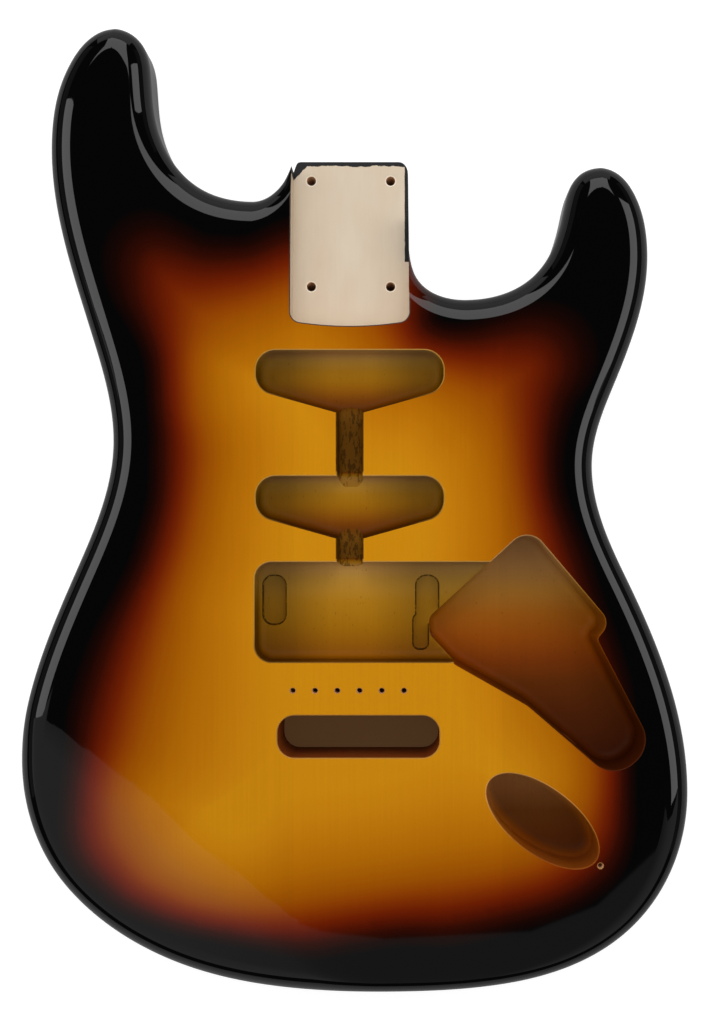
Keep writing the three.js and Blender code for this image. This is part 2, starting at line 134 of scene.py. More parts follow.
def room_inside(places: np.ndarray, outward: np.ndarray) -> np.ndarray:
    """Finds the largest circle that touches a loop at each point from inside.

    Args:
        places: The loop's points.
        outward: Which way is out at each point.

    Returns:
        The circles' radii.
    """
    across = places[:, None] - places[None]
    inward = np.einsum("ijk,ik->ij", across, outward)
    square = (across**2).sum(axis=2)
    circles = np.full(square.shape, np.inf)
    np.divide(square, 2 * inward, out=circles, where=inward > LEAST_INWARD)
    return circles.min(axis=1)


def rounded(corners: Sequence[tuple[float, float, float]], step: float = 6.0) -> np.ndarray:
    """Draws a closed shape through corners, each with a round of its own.

    Args:
        corners: Each corner's x, y and radius, counter-clockwise.
        step: Degrees of turn from one point of a round to the next.

    Returns:
        The shape's points, counter-clockwise.
    """
    points = np.array([corner[:2] for corner in corners])
    radii = np.array([corner[2] for corner in corners])
    leave = np.roll(points, -1, axis=0) - points
    sides = np.linalg.norm(leave, axis=1)
    leave = unit(leave)
    arrive = np.roll(leave, 1, axis=0)
    turns = np.arctan2(
        arrive[:, 0] * leave[:, 1] - arrive[:, 1] * leave[:, 0], (arrive * leave).sum(axis=1))
    tangents = radii * np.tan(np.abs(turns) / 2)
    after = sides / (tangents + np.roll(tangents, -1))
    room = np.minimum(1, np.minimum(after, np.roll(after, 1)))
    places = []
    for corner, way, turn, tangent in zip(points, arrive, turns, room * tangents):
        radius = tangent / math.tan(abs(turn) / 2)
        across = math.copysign(radius, turn) * np.array([-way[1], way[0]])
        start = corner - way * tangent
        centre = start + across
        count = max(2, math.ceil(abs(math.degrees(turn)) / step))
        for angle in np.linspace(0, turn, count + 1):
            cos, sin = math.cos(angle), math.sin(angle)
            places.append(centre + np.array([[cos, -sin], [sin, cos]]) @ -across)
    return np.array(places)


def about(middle: float, width: float) -> Pair:
    """Gives the span of a width about its middle."""
    return middle - width / 2, middle + width / 2


def rounded_box(x_span: Pair, y_span: Pair, radius: float) -> np.ndarray:
    """Draws an upright rectangle with four like rounds.

    Args:
        x_span: Its least and greatest x.
        y_span: Its least and greatest y.
        radius: The radius of its corners.

    Returns:
        The shape's points, counter-clockwise.
    """
    (west, east), (south, north) = x_span, y_span
    return rounded([
        (west, south, radius), (east, south, radius), (east, north, radius),
        (west, north, radius),
    ])


def circle(centre: Pair, diameter: float, sides: int = 32) -> np.ndarray:
    """Draws a circle.

    Args:
        centre: Its middle.
        diameter: Its diameter.
        sides: How many points it has.

    Returns:
        The circle's points, counter-clockwise.
    """
    angles = np.arange(sides) / sides * math.tau
    return np.array(centre) + diameter / 2 * np.stack([np.cos(angles), np.sin(angles)], axis=1)


def closed_spline(places: np.ndarray, steps: int = 8) -> np.ndarray:
    """Draws a smooth closed curve through points.

    Args:
        places: The points that it passes through.
        steps: How many pieces each stretch has.

    Returns:
        Points along the curve.
    """
    tangent = (np.roll(places, -1, axis=0) - np.roll(places, 1, axis=0)) / 6
    share = (np.arange(steps) / steps)[None, :, None]
    start, end = places[:, None], np.roll(places, -1, axis=0)[:, None]
    leave, arrive = start + tangent[:, None], end - np.roll(tangent, -1, axis=0)[:, None]
    curve = cubic(start, leave, arrive, end, share)
    return curve.reshape(-1, 2)


def cubic(
    start: np.ndarray, leave: np.ndarray, arrive: np.ndarray, end: np.ndarray,
    share: np.ndarray,
) -> np.ndarray:
    """Places points on a cubic curve.

    Args:
        start: Where it starts.
        leave: Its first handle.
        arrive: Its second handle.
        end: Where it ends.
        share: How far along each point is, from 0 to 1.

    Returns:
        The points.
    """
    rest = 1 - share
    return (rest**3 * start + 3 * rest**2 * share * leave
            + 3 * rest * share**2 * arrive + share**3 * end)


def tree_of(places: np.ndarray) -> KDTree:
    """Sorts places on the flat, so that the nearest one is found fast.

    Args:
        places: The places.

    Returns:
        The sorted places.
    """
    tree = KDTree(len(places))
    for index, (x, y) in enumerate(places):
        tree.insert((x, y, 0), index)
    tree.balance()
    return tree


# Meshes


def sweep(
    places: np.ndarray, outward: np.ndarray, rings: Iterable[tuple[np.ndarray, np.ndarray]],
) -> bmesh.types.BMesh:
    """Sweeps a closed loop through rings and caps both ends.

    Args:
        places: The loop's points.
        outward: Which way is out at each point.
        rings: For each ring, how far out its points lie and how high, both either one value
            or one for each point.

    Returns:
        A closed mesh with its faces pointing out.
    """
    mesh = bmesh.new()
    station = mesh.verts.layers.int.new("station")
    verts = [mesh.verts.new((x, y, 0)) for x, y in places]
    for index, vert in enumerate(verts):
        vert[station] = index
    edges = [mesh.edges.new(pair) for pair in zip(verts, verts[1:] + verts[:1])]
    first = edges
    for number, (out, height) in enumerate(rings):
        if number:
            made = bmesh.ops.extrude_edge_only(mesh, edges=edges)["geom"]
            verts = [item for item in made if isinstance(item, bmesh.types.BMVert)]
            fresh = set(verts)
            edges = [
                item for item in made
                if isinstance(item, bmesh.types.BMEdge) and fresh.issuperset(item.verts)]
        shifts = np.broadcast_to(out, len(places))
        heights = np.broadcast_to(height, len(places))
        for vert in verts:
            index = vert[station]
            spot = places[index] + outward[index] * shifts[index]
            vert.co = (spot[0], spot[1], heights[index])
    bmesh.ops.contextual_create(mesh, geom=first)
    bmesh.ops.contextual_create(mesh, geom=edges)
    bmesh.ops.recalc_face_normals(mesh, faces=mesh.faces)
    return mesh


def cut_in_cells(mesh: bmesh.types.BMesh, cell: float) -> None:
    """Cuts every face along the lines of a square grid, so that a tone can vary over it.

    Args:
        mesh: The mesh to cut.
        cell: The side of a square of the grid.
    """
    for normal in (Vector((1, 0, 0)), Vector((0, 1, 0))):
        reach = [vert.co.dot(normal) for vert in mesh.verts]
        first, last = math.ceil(min(reach) / cell), math.floor(max(reach) / cell)
        lines = [index * cell for index in range(first, last + 1)]
        cut_between(mesh, list(mesh.faces), normal, lines)


def cut_between(
    mesh: bmesh.types.BMesh, faces: list[bmesh.types.BMFace], normal: Vector,
    lines: list[float],
) -> None:
    """Cuts faces along parallel lines, the middle line first and then each half.

    Args:
        mesh: The mesh that holds the faces.
        faces: The faces to cut.
        normal: The direction that the lines are square to.
        lines: How far along that direction each line lies.
    """
    if not lines or not faces:
        return
    middle = len(lines) // 2
    geometry = set(faces)
    for face in faces:
        geometry.update(face.edges)
        geometry.update(face.verts)
    made = bmesh.ops.bisect_plane(
        mesh, geom=list(geometry), dist=ON_THE_LINE, plane_co=normal * lines[middle],
        plane_no=normal)
    low, high = [], []
    for item in made["geom"]:
        if isinstance(item, bmesh.types.BMFace):
            near = item.calc_center_median().dot(normal) < lines[middle]
            (low if near else high).append(item)
    cut_between(mesh, low, normal, lines[:middle])
    cut_between(mesh, high, normal, lines[middle + 1:])


def link(name: str, data: bpy.types.ID) -> bpy.types.Object:
    """Makes an object and links it to the scene.

    Args:
        name: The object's name.
        data: Its mesh, lamp or camera.

    Returns:
        The object.
    """
    made = bpy.data.objects.new(name, data)
    bpy.context.scene.collection.objects.link(made)
    return made


def object_of(name: str, mesh: bmesh.types.BMesh) -> bpy.types.Object:
    """Turns a mesh into a linked object.

    Args:
        name: The object's name.
        mesh: The mesh, which is freed.

    Returns:
        The object.
    """
    data = bpy.data.meshes.new(name)
    mesh.to_mesh(data)
    mesh.free()
    return link(name, data)


def solid_of(name: str, mesh: bmesh.types.BMesh, slot: Slot = Slot.OUTSIDE) -> bpy.types.Object:
    """Turns a closed mesh into a linked object whose faces all have one slot.

    Args:
        name: The object's name.
        mesh: The mesh, which is freed.
        slot: The kind of surface that its faces are.

    Returns:
        The object.
    """
    for face in mesh.faces:
        face.material_index = slot.value
        face.smooth = True
    made = object_of(name, mesh)
    for _ in Slot:
        made.data.materials.append(None)
    return made


def combine(target: bpy.types.Object, tools: list[bpy.types.Object], operation: str) -> None:
    """Cuts or keeps an object's mesh with tools, which are then removed.

    Args:
        target: The object whose mesh changes.
        tools: The closed objects to combine it with, one after the other.
        operation: DIFFERENCE or INTERSECT.
    """
    for tool in tools:
        modifier = target.modifiers.new(tool.name, "BOOLEAN")
        modifier.object = tool
        modifier.operation = operation
        modifier.solver = "MANIFOLD"
        modifier.material_mode = "INDEX"
    depsgraph = bpy.context.evaluated_depsgraph_get()
    shaped = bpy.data.meshes.new_from_object(target.evaluated_get(depsgraph))
    target.modifiers.clear()
    old = target.data
    target.data = shaped
    bpy.data.meshes.remove(old)
    for tool in tools:
        remove(tool)


def remove(unwanted: bpy.types.Object) -> None:
    """Removes an object with its mesh.

    Args:
        unwanted: The object.
    """
    data = unwanted.data
    bpy.data.objects.remove(unwanted)
    bpy.data.meshes.remove(data)


def spots_of(data: bpy.types.Mesh) -> np.ndarray:
    """Reads the places of a mesh's vertices.

    Args:
        data: The mesh.

    Returns:
        A row for each vertex.
    """
    spots = np.empty(len(data.vertices) * 3, np.float32)
    data.vertices.foreach_get("co", spots)
    return spots.reshape(-1, 3)


def write_values(data: bpy.types.Mesh, name: str, values: np.ndarray) -> None:
    """Writes an attribute with a value for each of a mesh's vertices.

    Args:
        data: The mesh.
        name: The attribute's name.
        values: The values.
    """
    attribute = data.attributes.new(name, "FLOAT", "POINT")
    attribute.data.foreach_set("value", values.astype(np.float32))


@dataclass
class Outline:
    """The body's outline from above, and the radius of its edge all the way round.

    The rows hold shares across and along, a heading in degrees on the square that those
    shares span, and how much of the full edge radius the edge has there. The heel's shares
    are of the neck pocket, and the others of the body's half width and half length.
    """

    width: float
    length: float
    thickness: float
    centreline_x: float
    pocket_end_y: float
    pocket_width: float
    pocket_length: float
    edge_radius: float = 12.5
    heel_edge_radius: float = 1.6
    spacing: float = 1.4
    tightest_bend_share: float = 0.9
    slightest_turn: float = 1e-3
    fewest_steps: int = 6
    treble_side_shares: tuple[tuple[float, ...], ...] = (
        (-0.715, 1, 180, 1), (-0.771, 0.989, 201.8, 1), (-0.861, 0.9125, 235.5, 1),
        (-0.906, 0.749, 270, 1), (-0.79, 0.375, 294.1, 1), (-0.721, 0.145, 270, 1),
        (-0.851, -0.155, 237.9, 1), (-1, -0.535, 270, 1), (-0.875, -0.788, 320.1, 1),
        (-0.569, -0.939, 344, 1), (0.004, -1, 0, 1), (0.4625, -0.982, 6.7, 1),
        (0.8045, -0.883, 29.8, 1), (1, -0.585, 90, 1), (0.8165, -0.14, 125.1, 1),
        (0.7135, 0.093, 90, 1), (0.7745, 0.253, 59, 1), (0.88, 0.527, 90, 1),
        (0.8365, 0.663, 129.2, 1), (0.79, 0.7, 154.9, 1), (0.7365, 0.712, 180, 1),
        (0.682, 0.7005, 205.1, 1), (0.642, 0.662, 242.9, 1), (0.63, 0.631, 252.3, 1),
        (0.6155, 0.587, 248.2, 1), (0.5795, 0.523, 228.5, 1), (0.5195, 0.4765, 207.6, 1),
        (0.3305, 0.438, 180, 1),
    )
    heel_shares: tuple[tuple[float, ...], ...] = (
        (1.088, 0.303, 141.2, 0.8), (0.994, 0.48, 90, 0.1), (0.98, 0.925, 90, 0),
        (0.82, 1, 180, 0), (-0.87, 1, 180, 0), (-0.985, 0.935, 217.5, 0),
        (-1.128, 0.85, 205.4, 0.5),
    )
    bass_cutaway_shares: tuple[tuple[float, ...], ...] = (
        (-0.2995, 0.642, 180, 1), (-0.4735, 0.6755, 154.1, 1), (-0.5975, 0.82, 104.3, 1),
        (-0.61, 0.9115, 97.2, 1), (-0.6455, 0.978, 144.3, 1),
    )
    places: np.ndarray = field(init=False)
    outward: np.ndarray = field(init=False)
    radius: np.ndarray = field(init=False)

    def __post_init__(self) -> None:
        """Draws the outline."""
        heel = (self.centreline_x, self.pocket_end_y, self.pocket_width / 2, self.pocket_length)
        body = (0.0, 0.0, self.width / 2, self.length / 2)
        knots = (self.knots(body, self.treble_side_shares)
                 + self.knots(heel, self.heel_shares)
                 + self.knots(body, self.bass_cutaway_shares))
        places, tangents, shares = [], [], []
        for knot, following in zip(knots, knots[1:] + knots[:1]):
            stretch = self.stretch(knot, following)
            places.append(stretch[0])
            tangents.append(stretch[1])
            shares.append(stretch[2])
        self.places = np.concatenate(places)
        along = unit(np.concatenate(tangents))
        self.outward = np.stack([along[:, 1], -along[:, 0]], axis=1)
        share = np.concatenate(shares)
        wanted = self.heel_edge_radius + share * (self.edge_radius - self.heel_edge_radius)
        room = np.minimum(room_inside(self.places, self.outward), self.thickness / 2)
        self.radius = np.minimum(wanted, self.tightest_bend_share * room)

    def knots(
        self, span: tuple[float, ...], rows: Iterable[tuple[float, ...]],
    ) -> list[tuple[np.ndarray, np.ndarray, float]]:
        """Places rows of shares.

        Args:
            span: The x and y that the shares start from, and the width and length that a
                share of 1 stands for.
            rows: Shares, headings and edge shares.

        Returns:
            For each row its place, its heading and its edge share.
        """
        x, y, width, length = span
        knots = []
        for x_share, y_share, degrees, share in rows:
            angle = math.radians(degrees)
            heading = unit(np.array([width * math.cos(angle), length * math.sin(angle)]))
            knots.append((np.array([x + x_share * width, y + y_share * length]), heading, share))
        return knots

    def stretch(
        self, start: tuple[np.ndarray, np.ndarray, float],
        end: tuple[np.ndarray, np.ndarray, float],
    ) -> tuple[np.ndarray, np.ndarray, np.ndarray]:
        """Joins two knots by a curve that is as near as it can be to an arc.

        Args:
            start: The knot that the curve leaves.
            end: The knot that it reaches.

        Returns:
            Points along the curve, its direction at each, and the edge share at each.
        """
        (place, heading, share), (goal, arrival, goal_share) = start, end
        turn = math.atan2(heading[0] * arrival[1] - heading[1] * arrival[0], heading @ arrival)
        chord = np.linalg.norm(goal - place)
        bend = max(abs(turn), self.slightest_turn)
        handle = 4 / 3 * math.tan(bend / 4) * chord / (2 * math.sin(bend / 2))
        leave, arrive = place + heading * handle, goal - arrival * handle
        count = max(self.fewest_steps, math.ceil(chord / self.spacing))
        part = (np.arange(count) / count)[:, None]
        rest = 1 - part
        tangent = (rest**2 * (leave - place) + 2 * rest * part * (arrive - leave)
                   + part**2 * (goal - arrive))
        shares = share + (goal_share - share) * part[:, 0]
        return cubic(place, leave, arrive, goal, part), tangent, shares

    def nearest(self, spots: np.ndarray) -> tuple[np.ndarray, np.ndarray, np.ndarray]:
        """Finds the nearest place on the outline to places.

        Args:
            spots: The places.

        Returns:
            For each, the place on the outline, which way is out there and the edge radius.
        """
        tree = tree_of(self.places)
        near = np.array([tree.find((x, y, 0))[1] for x, y in spots])
        along = np.stack([-self.outward[:, 1], self.outward[:, 0]], axis=1)
        ahead = ((spots - self.places[near]) * along[near]).sum(axis=1)
        other = (near + np.where(ahead > 0, 1, -1)) % len(self.places)
        past = ((spots - self.places[other]) * along[other]).sum(axis=1)
        gap = np.where(ahead == past, 1, ahead - past)
        share = np.clip(ahead / gap, 0, 1)[:, None]
        place = self.places[near] + (self.places[other] - self.places[near]) * share
        out = unit(self.outward[near] + (self.outward[other] - self.outward[near]) * share)
        change = (self.radius[other] - self.radius[near]) * share[:, 0]
        return place, out, self.radius[near] + change

    def at_shares(self, shares: Iterable[Pair]) -> np.ndarray:
        """Places shares of the body's half width and half length.

        Args:
            shares: Pairs of shares.

        Returns:
            The places.
        """
        return np.array(list(shares)) * np.array([self.width / 2, self.length / 2])


@dataclass
class Blank:
    """The shaped body before it is routed."""

    outline: Outline
    edge_steps: int = 12
    first_degrees: Pair = (0.0, 1.5)
    cell: float = 3.2
    slope_step: float = 0.01
    forearm_slope: float = 0.19
    forearm_start: float = 2.67
    forearm_bend: float = 16.0
    belly_slope: float = 0.28
    belly_bend: float = 10.0
    forearm_line_shares: Pairs = ((-0.95, -0.42), (-0.1, -0.9))
    belly_line_shares: tuple[Pairs, ...] = (
        ((-0.37, 0.22), (-0.87, 0.72)),
        ((-0.37, 0.04), (-0.37, 0.22)),
        ((-0.87, -0.4), (-0.37, 0.04)),
    )

    def right_of(self, line: Iterable[Pair], spots: np.ndarray) -> np.ndarray:
        """Measures how far places lie to the right of a line.

        Args:
            line: Its start and its end, in shares of the body.
            spots: The places.

        Returns:
            The distances, negative to the left.
        """
        start, end = self.outline.at_shares(line)
        way = unit(end - start)
        return (spots - start) @ np.array([way[1], -way[0]])

    @staticmethod
    def bevel(past: np.ndarray, bend: float, slope: float) -> np.ndarray:
        """Gives how much a bevel takes off, which starts with a bend and goes on straight.

        Args:
            past: How far past its start places lie.
            bend: How long the bend is.
            slope: How steep the straight part is.

        Returns:
            What it takes off at each place.
        """
        bent = np.clip(past, 0, bend)
        return slope * (bent**2 / (2 * bend) + np.maximum(past - bend, 0))

    def forearm_drop(self, spots: np.ndarray) -> np.ndarray:
        """Gives how far the forearm bevel lowers the top at places."""
        past = self.right_of(self.forearm_line_shares, spots) + self.forearm_start
        return self.bevel(past, self.forearm_bend, self.forearm_slope)

    def belly_rise(self, spots: np.ndarray) -> np.ndarray:
        """Gives how far the belly bevel raises the back at places."""
        past = -np.max([self.right_of(line, spots) for line in self.belly_line_shares], axis=0)
        return self.bevel(past, self.belly_bend, self.belly_slope)

    def build(self) -> bpy.types.Object:
        """Sweeps the outline from the back's edge over the sides to the top's edge.

        Returns:
            The body, not yet routed.
        """
        outline, top, radius = self.outline, self.outline.thickness, self.outline.radius
        quarter = np.radians([*self.first_degrees, *np.linspace(0, 90, self.edge_steps + 1)[1:]])
        edge = [(-radius * (1 - math.sin(angle)), radius * (1 - math.cos(angle)))
                for angle in quarter]
        rings = edge + [(out, top - height) for out, height in reversed(edge)]
        mesh = sweep(outline.places, outline.outward, rings)
        cut_in_cells(mesh, self.cell)
        spots = np.array([vert.co for vert in mesh.verts])
        upper = spots[:, 2] > top / 2
        drop = self.forearm_drop(spots[:, :2])
        rise = self.belly_rise(spots[:, :2])
        for vert, lifted, down, up in zip(mesh.verts, upper, drop, rise):
            vert.co.z += -down if lifted else up
        return solid_of("blank", mesh)

    def normals_at(self, spots: np.ndarray) -> np.ndarray:
        """Works out the true normals at places on the outside, free of the facets.

        Args:
            spots: The places.

        Returns:
            The normals.
        """
        outline, top = self.outline, self.outline.thickness
        flat, height = spots[:, :2], spots[:, 2]
        place, out, radius = outline.nearest(flat)
        inside = ((place - flat) * out).sum(axis=1)
        upper = height > top / 2
        level = np.where(
            upper, height + self.forearm_drop(flat), top - height + self.belly_rise(flat))
        up = np.clip((level - top + radius) / radius, 0, 1)
        sideways = np.clip((radius - inside) / radius, 0, 1)[:, None] * out
        slopes = []
        for step in self.slope_step * np.eye(2):
            change = np.where(
                upper, self.forearm_drop(flat + step) - self.forearm_drop(flat - step),
                self.belly_rise(flat + step) - self.belly_rise(flat - step))
            slopes.append(change / (2 * self.slope_step))
        sideways += np.stack(slopes, axis=1) * up[:, None]
        return unit(np.column_stack([sideways, np.where(upper, up, -up)]))


@dataclass
class Routing:
    """A cutter with a filleted floor and a lip that rounds the rim it cuts."""

    name: str
    shape: np.ndarray
    depth: float
    thickness: float
    fillet: float = 0.0
    lip: float = 0.7
    slot: Slot = Slot.CAVITY
    face: Face = Face.TOP
    through: bool = False
    fillet_steps: int = 6
    lip_steps: int = 4
    lip_degrees: float = 80.0
    tightest_bend_share: float = 0.9
    overrun: float = 6.0
    cell: float = 3.2

    def rings(self, outward: np.ndarray) -> list[Pair]:
        """Works out the cutter's rings.

        Args:
            outward: Which way is out at each point of the shape.

        Returns:
            How far out and how deep each ring lies, the deepest first.
        """
        depth = self.depth
        room = room_inside(self.shape, outward).min()
        fillet = min(self.fillet, self.tightest_bend_share * room)
        lip = [(self.lip * (1 - math.cos(angle)), self.lip * (1 - math.sin(angle)))
               for angle in np.radians(np.linspace(0, self.lip_degrees, self.lip_steps + 1))]
        if self.through:
            floor = [(self.lip, depth + self.overrun)]
            floor += [(out, depth - deep) for out, deep in reversed(lip)]
        elif fillet:
            floor = [(-fillet * (1 - math.sin(angle)), depth - fillet * (1 - math.cos(angle)))
                     for angle in np.linspace(0, math.pi / 2, self.fillet_steps + 1)]
        else:
            floor = [(0.0, depth)]
        return floor + lip + [(lip[-1][0], -self.overrun)]

    def build(self) -> bpy.types.Object:
        """Builds the cutter where it cuts.

        Returns:
            The cutter.
        """
        outward = outward_of(self.shape)
        rings = [
            (out, self.thickness - deep if self.face is Face.TOP else deep)
            for out, deep in self.rings(outward)]
        mesh = sweep(self.shape, outward, rings)
        cut_in_cells(mesh, self.cell)
        return solid_of(self.name, mesh, self.slot)


@dataclass
class Routings:
    """Everything that is routed and drilled into the body."""

    thickness: float
    centreline_x: float = -1.6
    bridge_line_y: float = -85.2
    pocket_width: float = 56.0
    pocket_taper: float = 0.8
    pocket_depth: float = 16.0
    pocket_from_bridge: float = 174.6
    pocket_length: float = 78.3
    pocket_crown: float = 2.0
    pocket_crown_radius: float = 160.0
    pocket_corner_radius: float = 5.0
    pocket_mouth_radius: float = 1.0
    pocket_step: float = 1.5
    pocket_lip: float = 0.8
    bolt_spacing: Pair = (38.1, 50.8)
    bolts_from_pocket_end: float = 43.8
    bolt_hole: float = 4.5
    chipped_ring: float = 0.5
    chipped_depth: float = 0.25
    pickup_width: float = 88.5
    pickup_height: float = 29.0
    pickup_end_height: float = 18.3
    pickup_point_width: float = 12.0
    pickup_corner_radius: float = 9.2
    pickup_point_radius: float = 6.0
    pickup_depth: float = 19.0
    pickups_from_bridge: Pair = (160.6, 101.2)
    bridge_shade_overrun: float = 21.0
    rim_reach: float = 1.0
    channel_width: float = 12.0
    channel_depth: float = 18.9
    cavity_fillet: float = 5.2
    channel_fillet: float = 3.0
    bridge_bass_x: float = 44.8
    bridge_reach: float = 75.6
    bridge_height: float = 47.0
    bridge_from_bridge: float = 60.6
    bridge_depth: float = 20.0
    bridge_corner_radius: float = 7.8
    ear_size: Pair = (11.8, 24.5)
    ear_depth: float = 3.5
    ear_top_inset: float = 6.1
    ear_places: Pair = (-37.1, 36.7)
    ear_relief_size: Pair = (8.2, 18.0)
    ear_relief_shift: Pair = (-3.2, -18.5)
    ear_fillet: float = 1.2
    ear_lip: float = 1.1
    control_width: float = 104.8
    control_height: float = 118.7
    control_bass_x: float = 37.5
    control_from_bridge: float = 77.0
    control_floor: float = 6.5
    control_corner_radius: float = 13.3
    control_fillet: float = 5.0
    control_step: float = 4.0
    control_tail_corner: int = 4
    control_bass_corner: int = 7
    control_corner_shares: tuple[tuple[float, float, float], ...] = (
        (0.4475, 0, 0.68), (0.81, 0.378, 0.49), (0.75, 0.443, 0.24), (1, 0.8685, 1),
        (0.833, 1, 1), (0.4455, 0.705, 1.58), (0.119, 0.542, 0.44), (0.004, 0.434, 0.44),
        (0, 0.364, 0.44),
    )
    jack_size: Pair = (62.2, 30.4)
    jack_tilt: float = 37.2
    jack_x: float = 90.9
    jack_below_bridge_line: float = 61.4
    jack_floor: float = 11.0
    jack_fillet: float = 6.0
    jack_sides: int = 96
    jack_screw_distance: float = 34.6
    jack_screw_angle: float = 37.7
    screw_spacing: float = 10.5
    screw_count: int = 6
    screw_depth: float = 25.0
    screw_shift_x: float = -0.6
    small_hole: float = 2.4
    small_lip: float = 0.45
    slot_size: Pair = (76.4, 19.8)
    slot_shift_x: float = 4.1
    slot_below_bridge_line: float = 21.7
    slot_corner_radius: float = 8.0
    spring_width: float = 58.0
    spring_length: float = 124.0
    spring_roof: float = 8.0
    spring_corner_radius: float = 8.0
    spring_fillet: float = 3.0
    jack_wire: float = 9.0
    ground_wire: float = 5.0
    wire_height: float = 17.0
    wire_sides: int = 24

    def pocket_end_y(self) -> float:
        """Gives the y of the neck pocket's closed end."""
        return self.bridge_line_y + self.pocket_from_bridge

    def control_corner(self, index: int) -> np.ndarray:
        """Gives the place of a corner of the control cavity."""
        x_share, y_share, _ = self.control_corner_shares[index]
        return np.array([
            self.centreline_x + self.control_bass_x + x_share * self.control_width,
            self.bridge_line_y + self.control_from_bridge - y_share * self.control_height])

    def cut(self, name: str, shape: np.ndarray, depth: float, **options: object) -> Routing:
        """Gives a cutter for this body's thickness."""
        return Routing(name, shape, depth, self.thickness, **options)

    def drill(self, name: str, centre: Pair, diameter: float, depth: float,
              **options: object) -> Routing:
        """Gives a drill for this body's thickness."""
        return self.cut(name, circle(centre, diameter), depth, slot=Slot.DRILLED, **options)

    def jack_centre(self) -> Pair:
        """Gives the middle of the jack cavity."""
        return self.centreline_x + self.jack_x, self.bridge_line_y - self.jack_below_bridge_line

    def neck_pocket(self, open_y: float) -> list[Routing]:
        """Draws the neck pocket and its four bolt holes.

        Args:
            open_y: How far the pocket runs out past the heel.

        Returns:
            The cutters.
        """
        x, end_y, half = self.centreline_x, self.pocket_end_y(), self.pocket_width / 2
        mouth, corner = self.pocket_mouth_radius, self.pocket_corner_radius
        shape = rounded([
            (x + half - self.pocket_taper, open_y, mouth),
            (x - half + self.pocket_taper, open_y, mouth),
            (x - half, end_y, corner),
            (x, end_y - 2 * self.pocket_crown, self.pocket_crown_radius),
            (x + half, end_y, corner),
        ], self.pocket_step)
        made = [self.cut("pocket", shape, self.pocket_depth, lip=self.pocket_lip, slot=Slot.BARE)]
        for x_side in (-0.5, 0.5):
            for y_side in (-0.5, 0.5):
                centre = (x + x_side * self.bolt_spacing[0],
                          end_y + self.bolts_from_pocket_end + y_side * self.bolt_spacing[1])
                made.append(self.drill("bolt_hole", centre, self.bolt_hole, self.thickness,
                                       lip=0.0, lip_steps=0, through=True))
                made.append(self.drill(
                    "chipped_ring", centre, self.bolt_hole + 2 * self.chipped_ring,
                    self.pocket_depth + self.chipped_depth, lip=0.0, lip_steps=0))
        return made

    def pickup_cavities(self) -> list[Routing]:
        """Draws the neck and middle pickups' cavities and the channel through them.

        Returns:
            The cutters.
        """
        x, half, point = self.centreline_x, self.pickup_width / 2, self.pickup_point_width / 2
        corner, tip = self.pickup_corner_radius, self.pickup_point_radius
        made = []
        for from_bridge in self.pickups_from_bridge:
            y = self.bridge_line_y + from_bridge
            low, end = y - self.pickup_height, y - self.pickup_end_height
            shape = rounded([
                (x + half, y, corner), (x - half, y, corner), (x - half, end, corner),
                (x - point, low, tip), (x + point, low, tip), (x + half, end, corner),
            ])
            made.append(self.cut("pickup", shape, self.pickup_depth, fillet=self.cavity_fillet))
        top = self.bridge_line_y + self.pickups_from_bridge[0] - self.pickup_height
        bottom = self.bridge_line_y + self.bridge_from_bridge - self.cavity_fillet
        shape = rounded_box(
            about(x, self.channel_width),
            (bottom - self.channel_fillet, top + self.cavity_fillet),
            (self.channel_width - self.channel_fillet) / 2)
        made.append(self.cut("channel", shape, self.channel_depth, fillet=self.channel_fillet,
                             slot=Slot.CHANNEL))
        return made

    def bridge_cavity(self) -> list[Routing]:
        """Draws the bridge pickup's cavity and the pockets for its ears.

        Returns:
            The cutters.
        """
        x, top = self.centreline_x, self.bridge_line_y + self.bridge_from_bridge
        shape = rounded_box(
            (x - self.bridge_bass_x, x + self.bridge_reach), (top - self.bridge_height, top),
            self.bridge_corner_radius)
        made = [self.cut("bridge_cavity", shape, self.bridge_depth, fillet=self.cavity_fillet)]
        ear_top = top - self.ear_top_inset
        pockets = [(x + place, ear_top, self.ear_size) for place in self.ear_places]
        shift_x, shift_y = self.ear_relief_shift
        pockets.append((pockets[1][0] + shift_x, ear_top + shift_y, self.ear_relief_size))
        for ear_x, ear_y, (width, height) in pockets:
            shape = rounded_box(about(ear_x, width), (ear_y - height, ear_y),
                                width / 2 - self.ear_fillet / 2)
            made.append(self.cut("ear_pocket", shape, self.bridge_depth + self.ear_depth,
                                 fillet=self.ear_fillet, lip=self.ear_lip))
        return made

    def control_and_jack(self) -> list[Routing]:
        """Draws the control cavity, the jack cavity and the jack plate's screw hole.

        Returns:
            The cutters.
        """
        corners = []
        for index, (_, _, share) in enumerate(self.control_corner_shares):
            corners.append((*self.control_corner(index), share * self.control_corner_radius))
        control = rounded(corners[::-1], self.control_step)
        tilt = math.radians(self.jack_tilt)
        oval = circle((0.0, 0.0), 1.0, self.jack_sides) * np.array(self.jack_size)
        turned = oval @ np.array([[math.cos(tilt), -math.sin(tilt)],
                                  [math.sin(tilt), math.cos(tilt)]])
        jack = np.array(self.jack_centre())
        angle = math.radians(self.jack_screw_angle)
        screw = jack + self.jack_screw_distance * np.array([math.cos(angle), -math.sin(angle)])
        return [
            self.cut("control_cavity", control, self.thickness - self.control_floor,
                     fillet=self.control_fillet, slot=Slot.CONTROL),
            self.cut("jack_cavity", jack + turned, self.thickness - self.jack_floor,
                     fillet=self.jack_fillet, slot=Slot.JACK),
            self.drill("jack_screw_hole", tuple(screw), self.small_hole, self.screw_depth,
                       lip=self.small_lip),
        ]

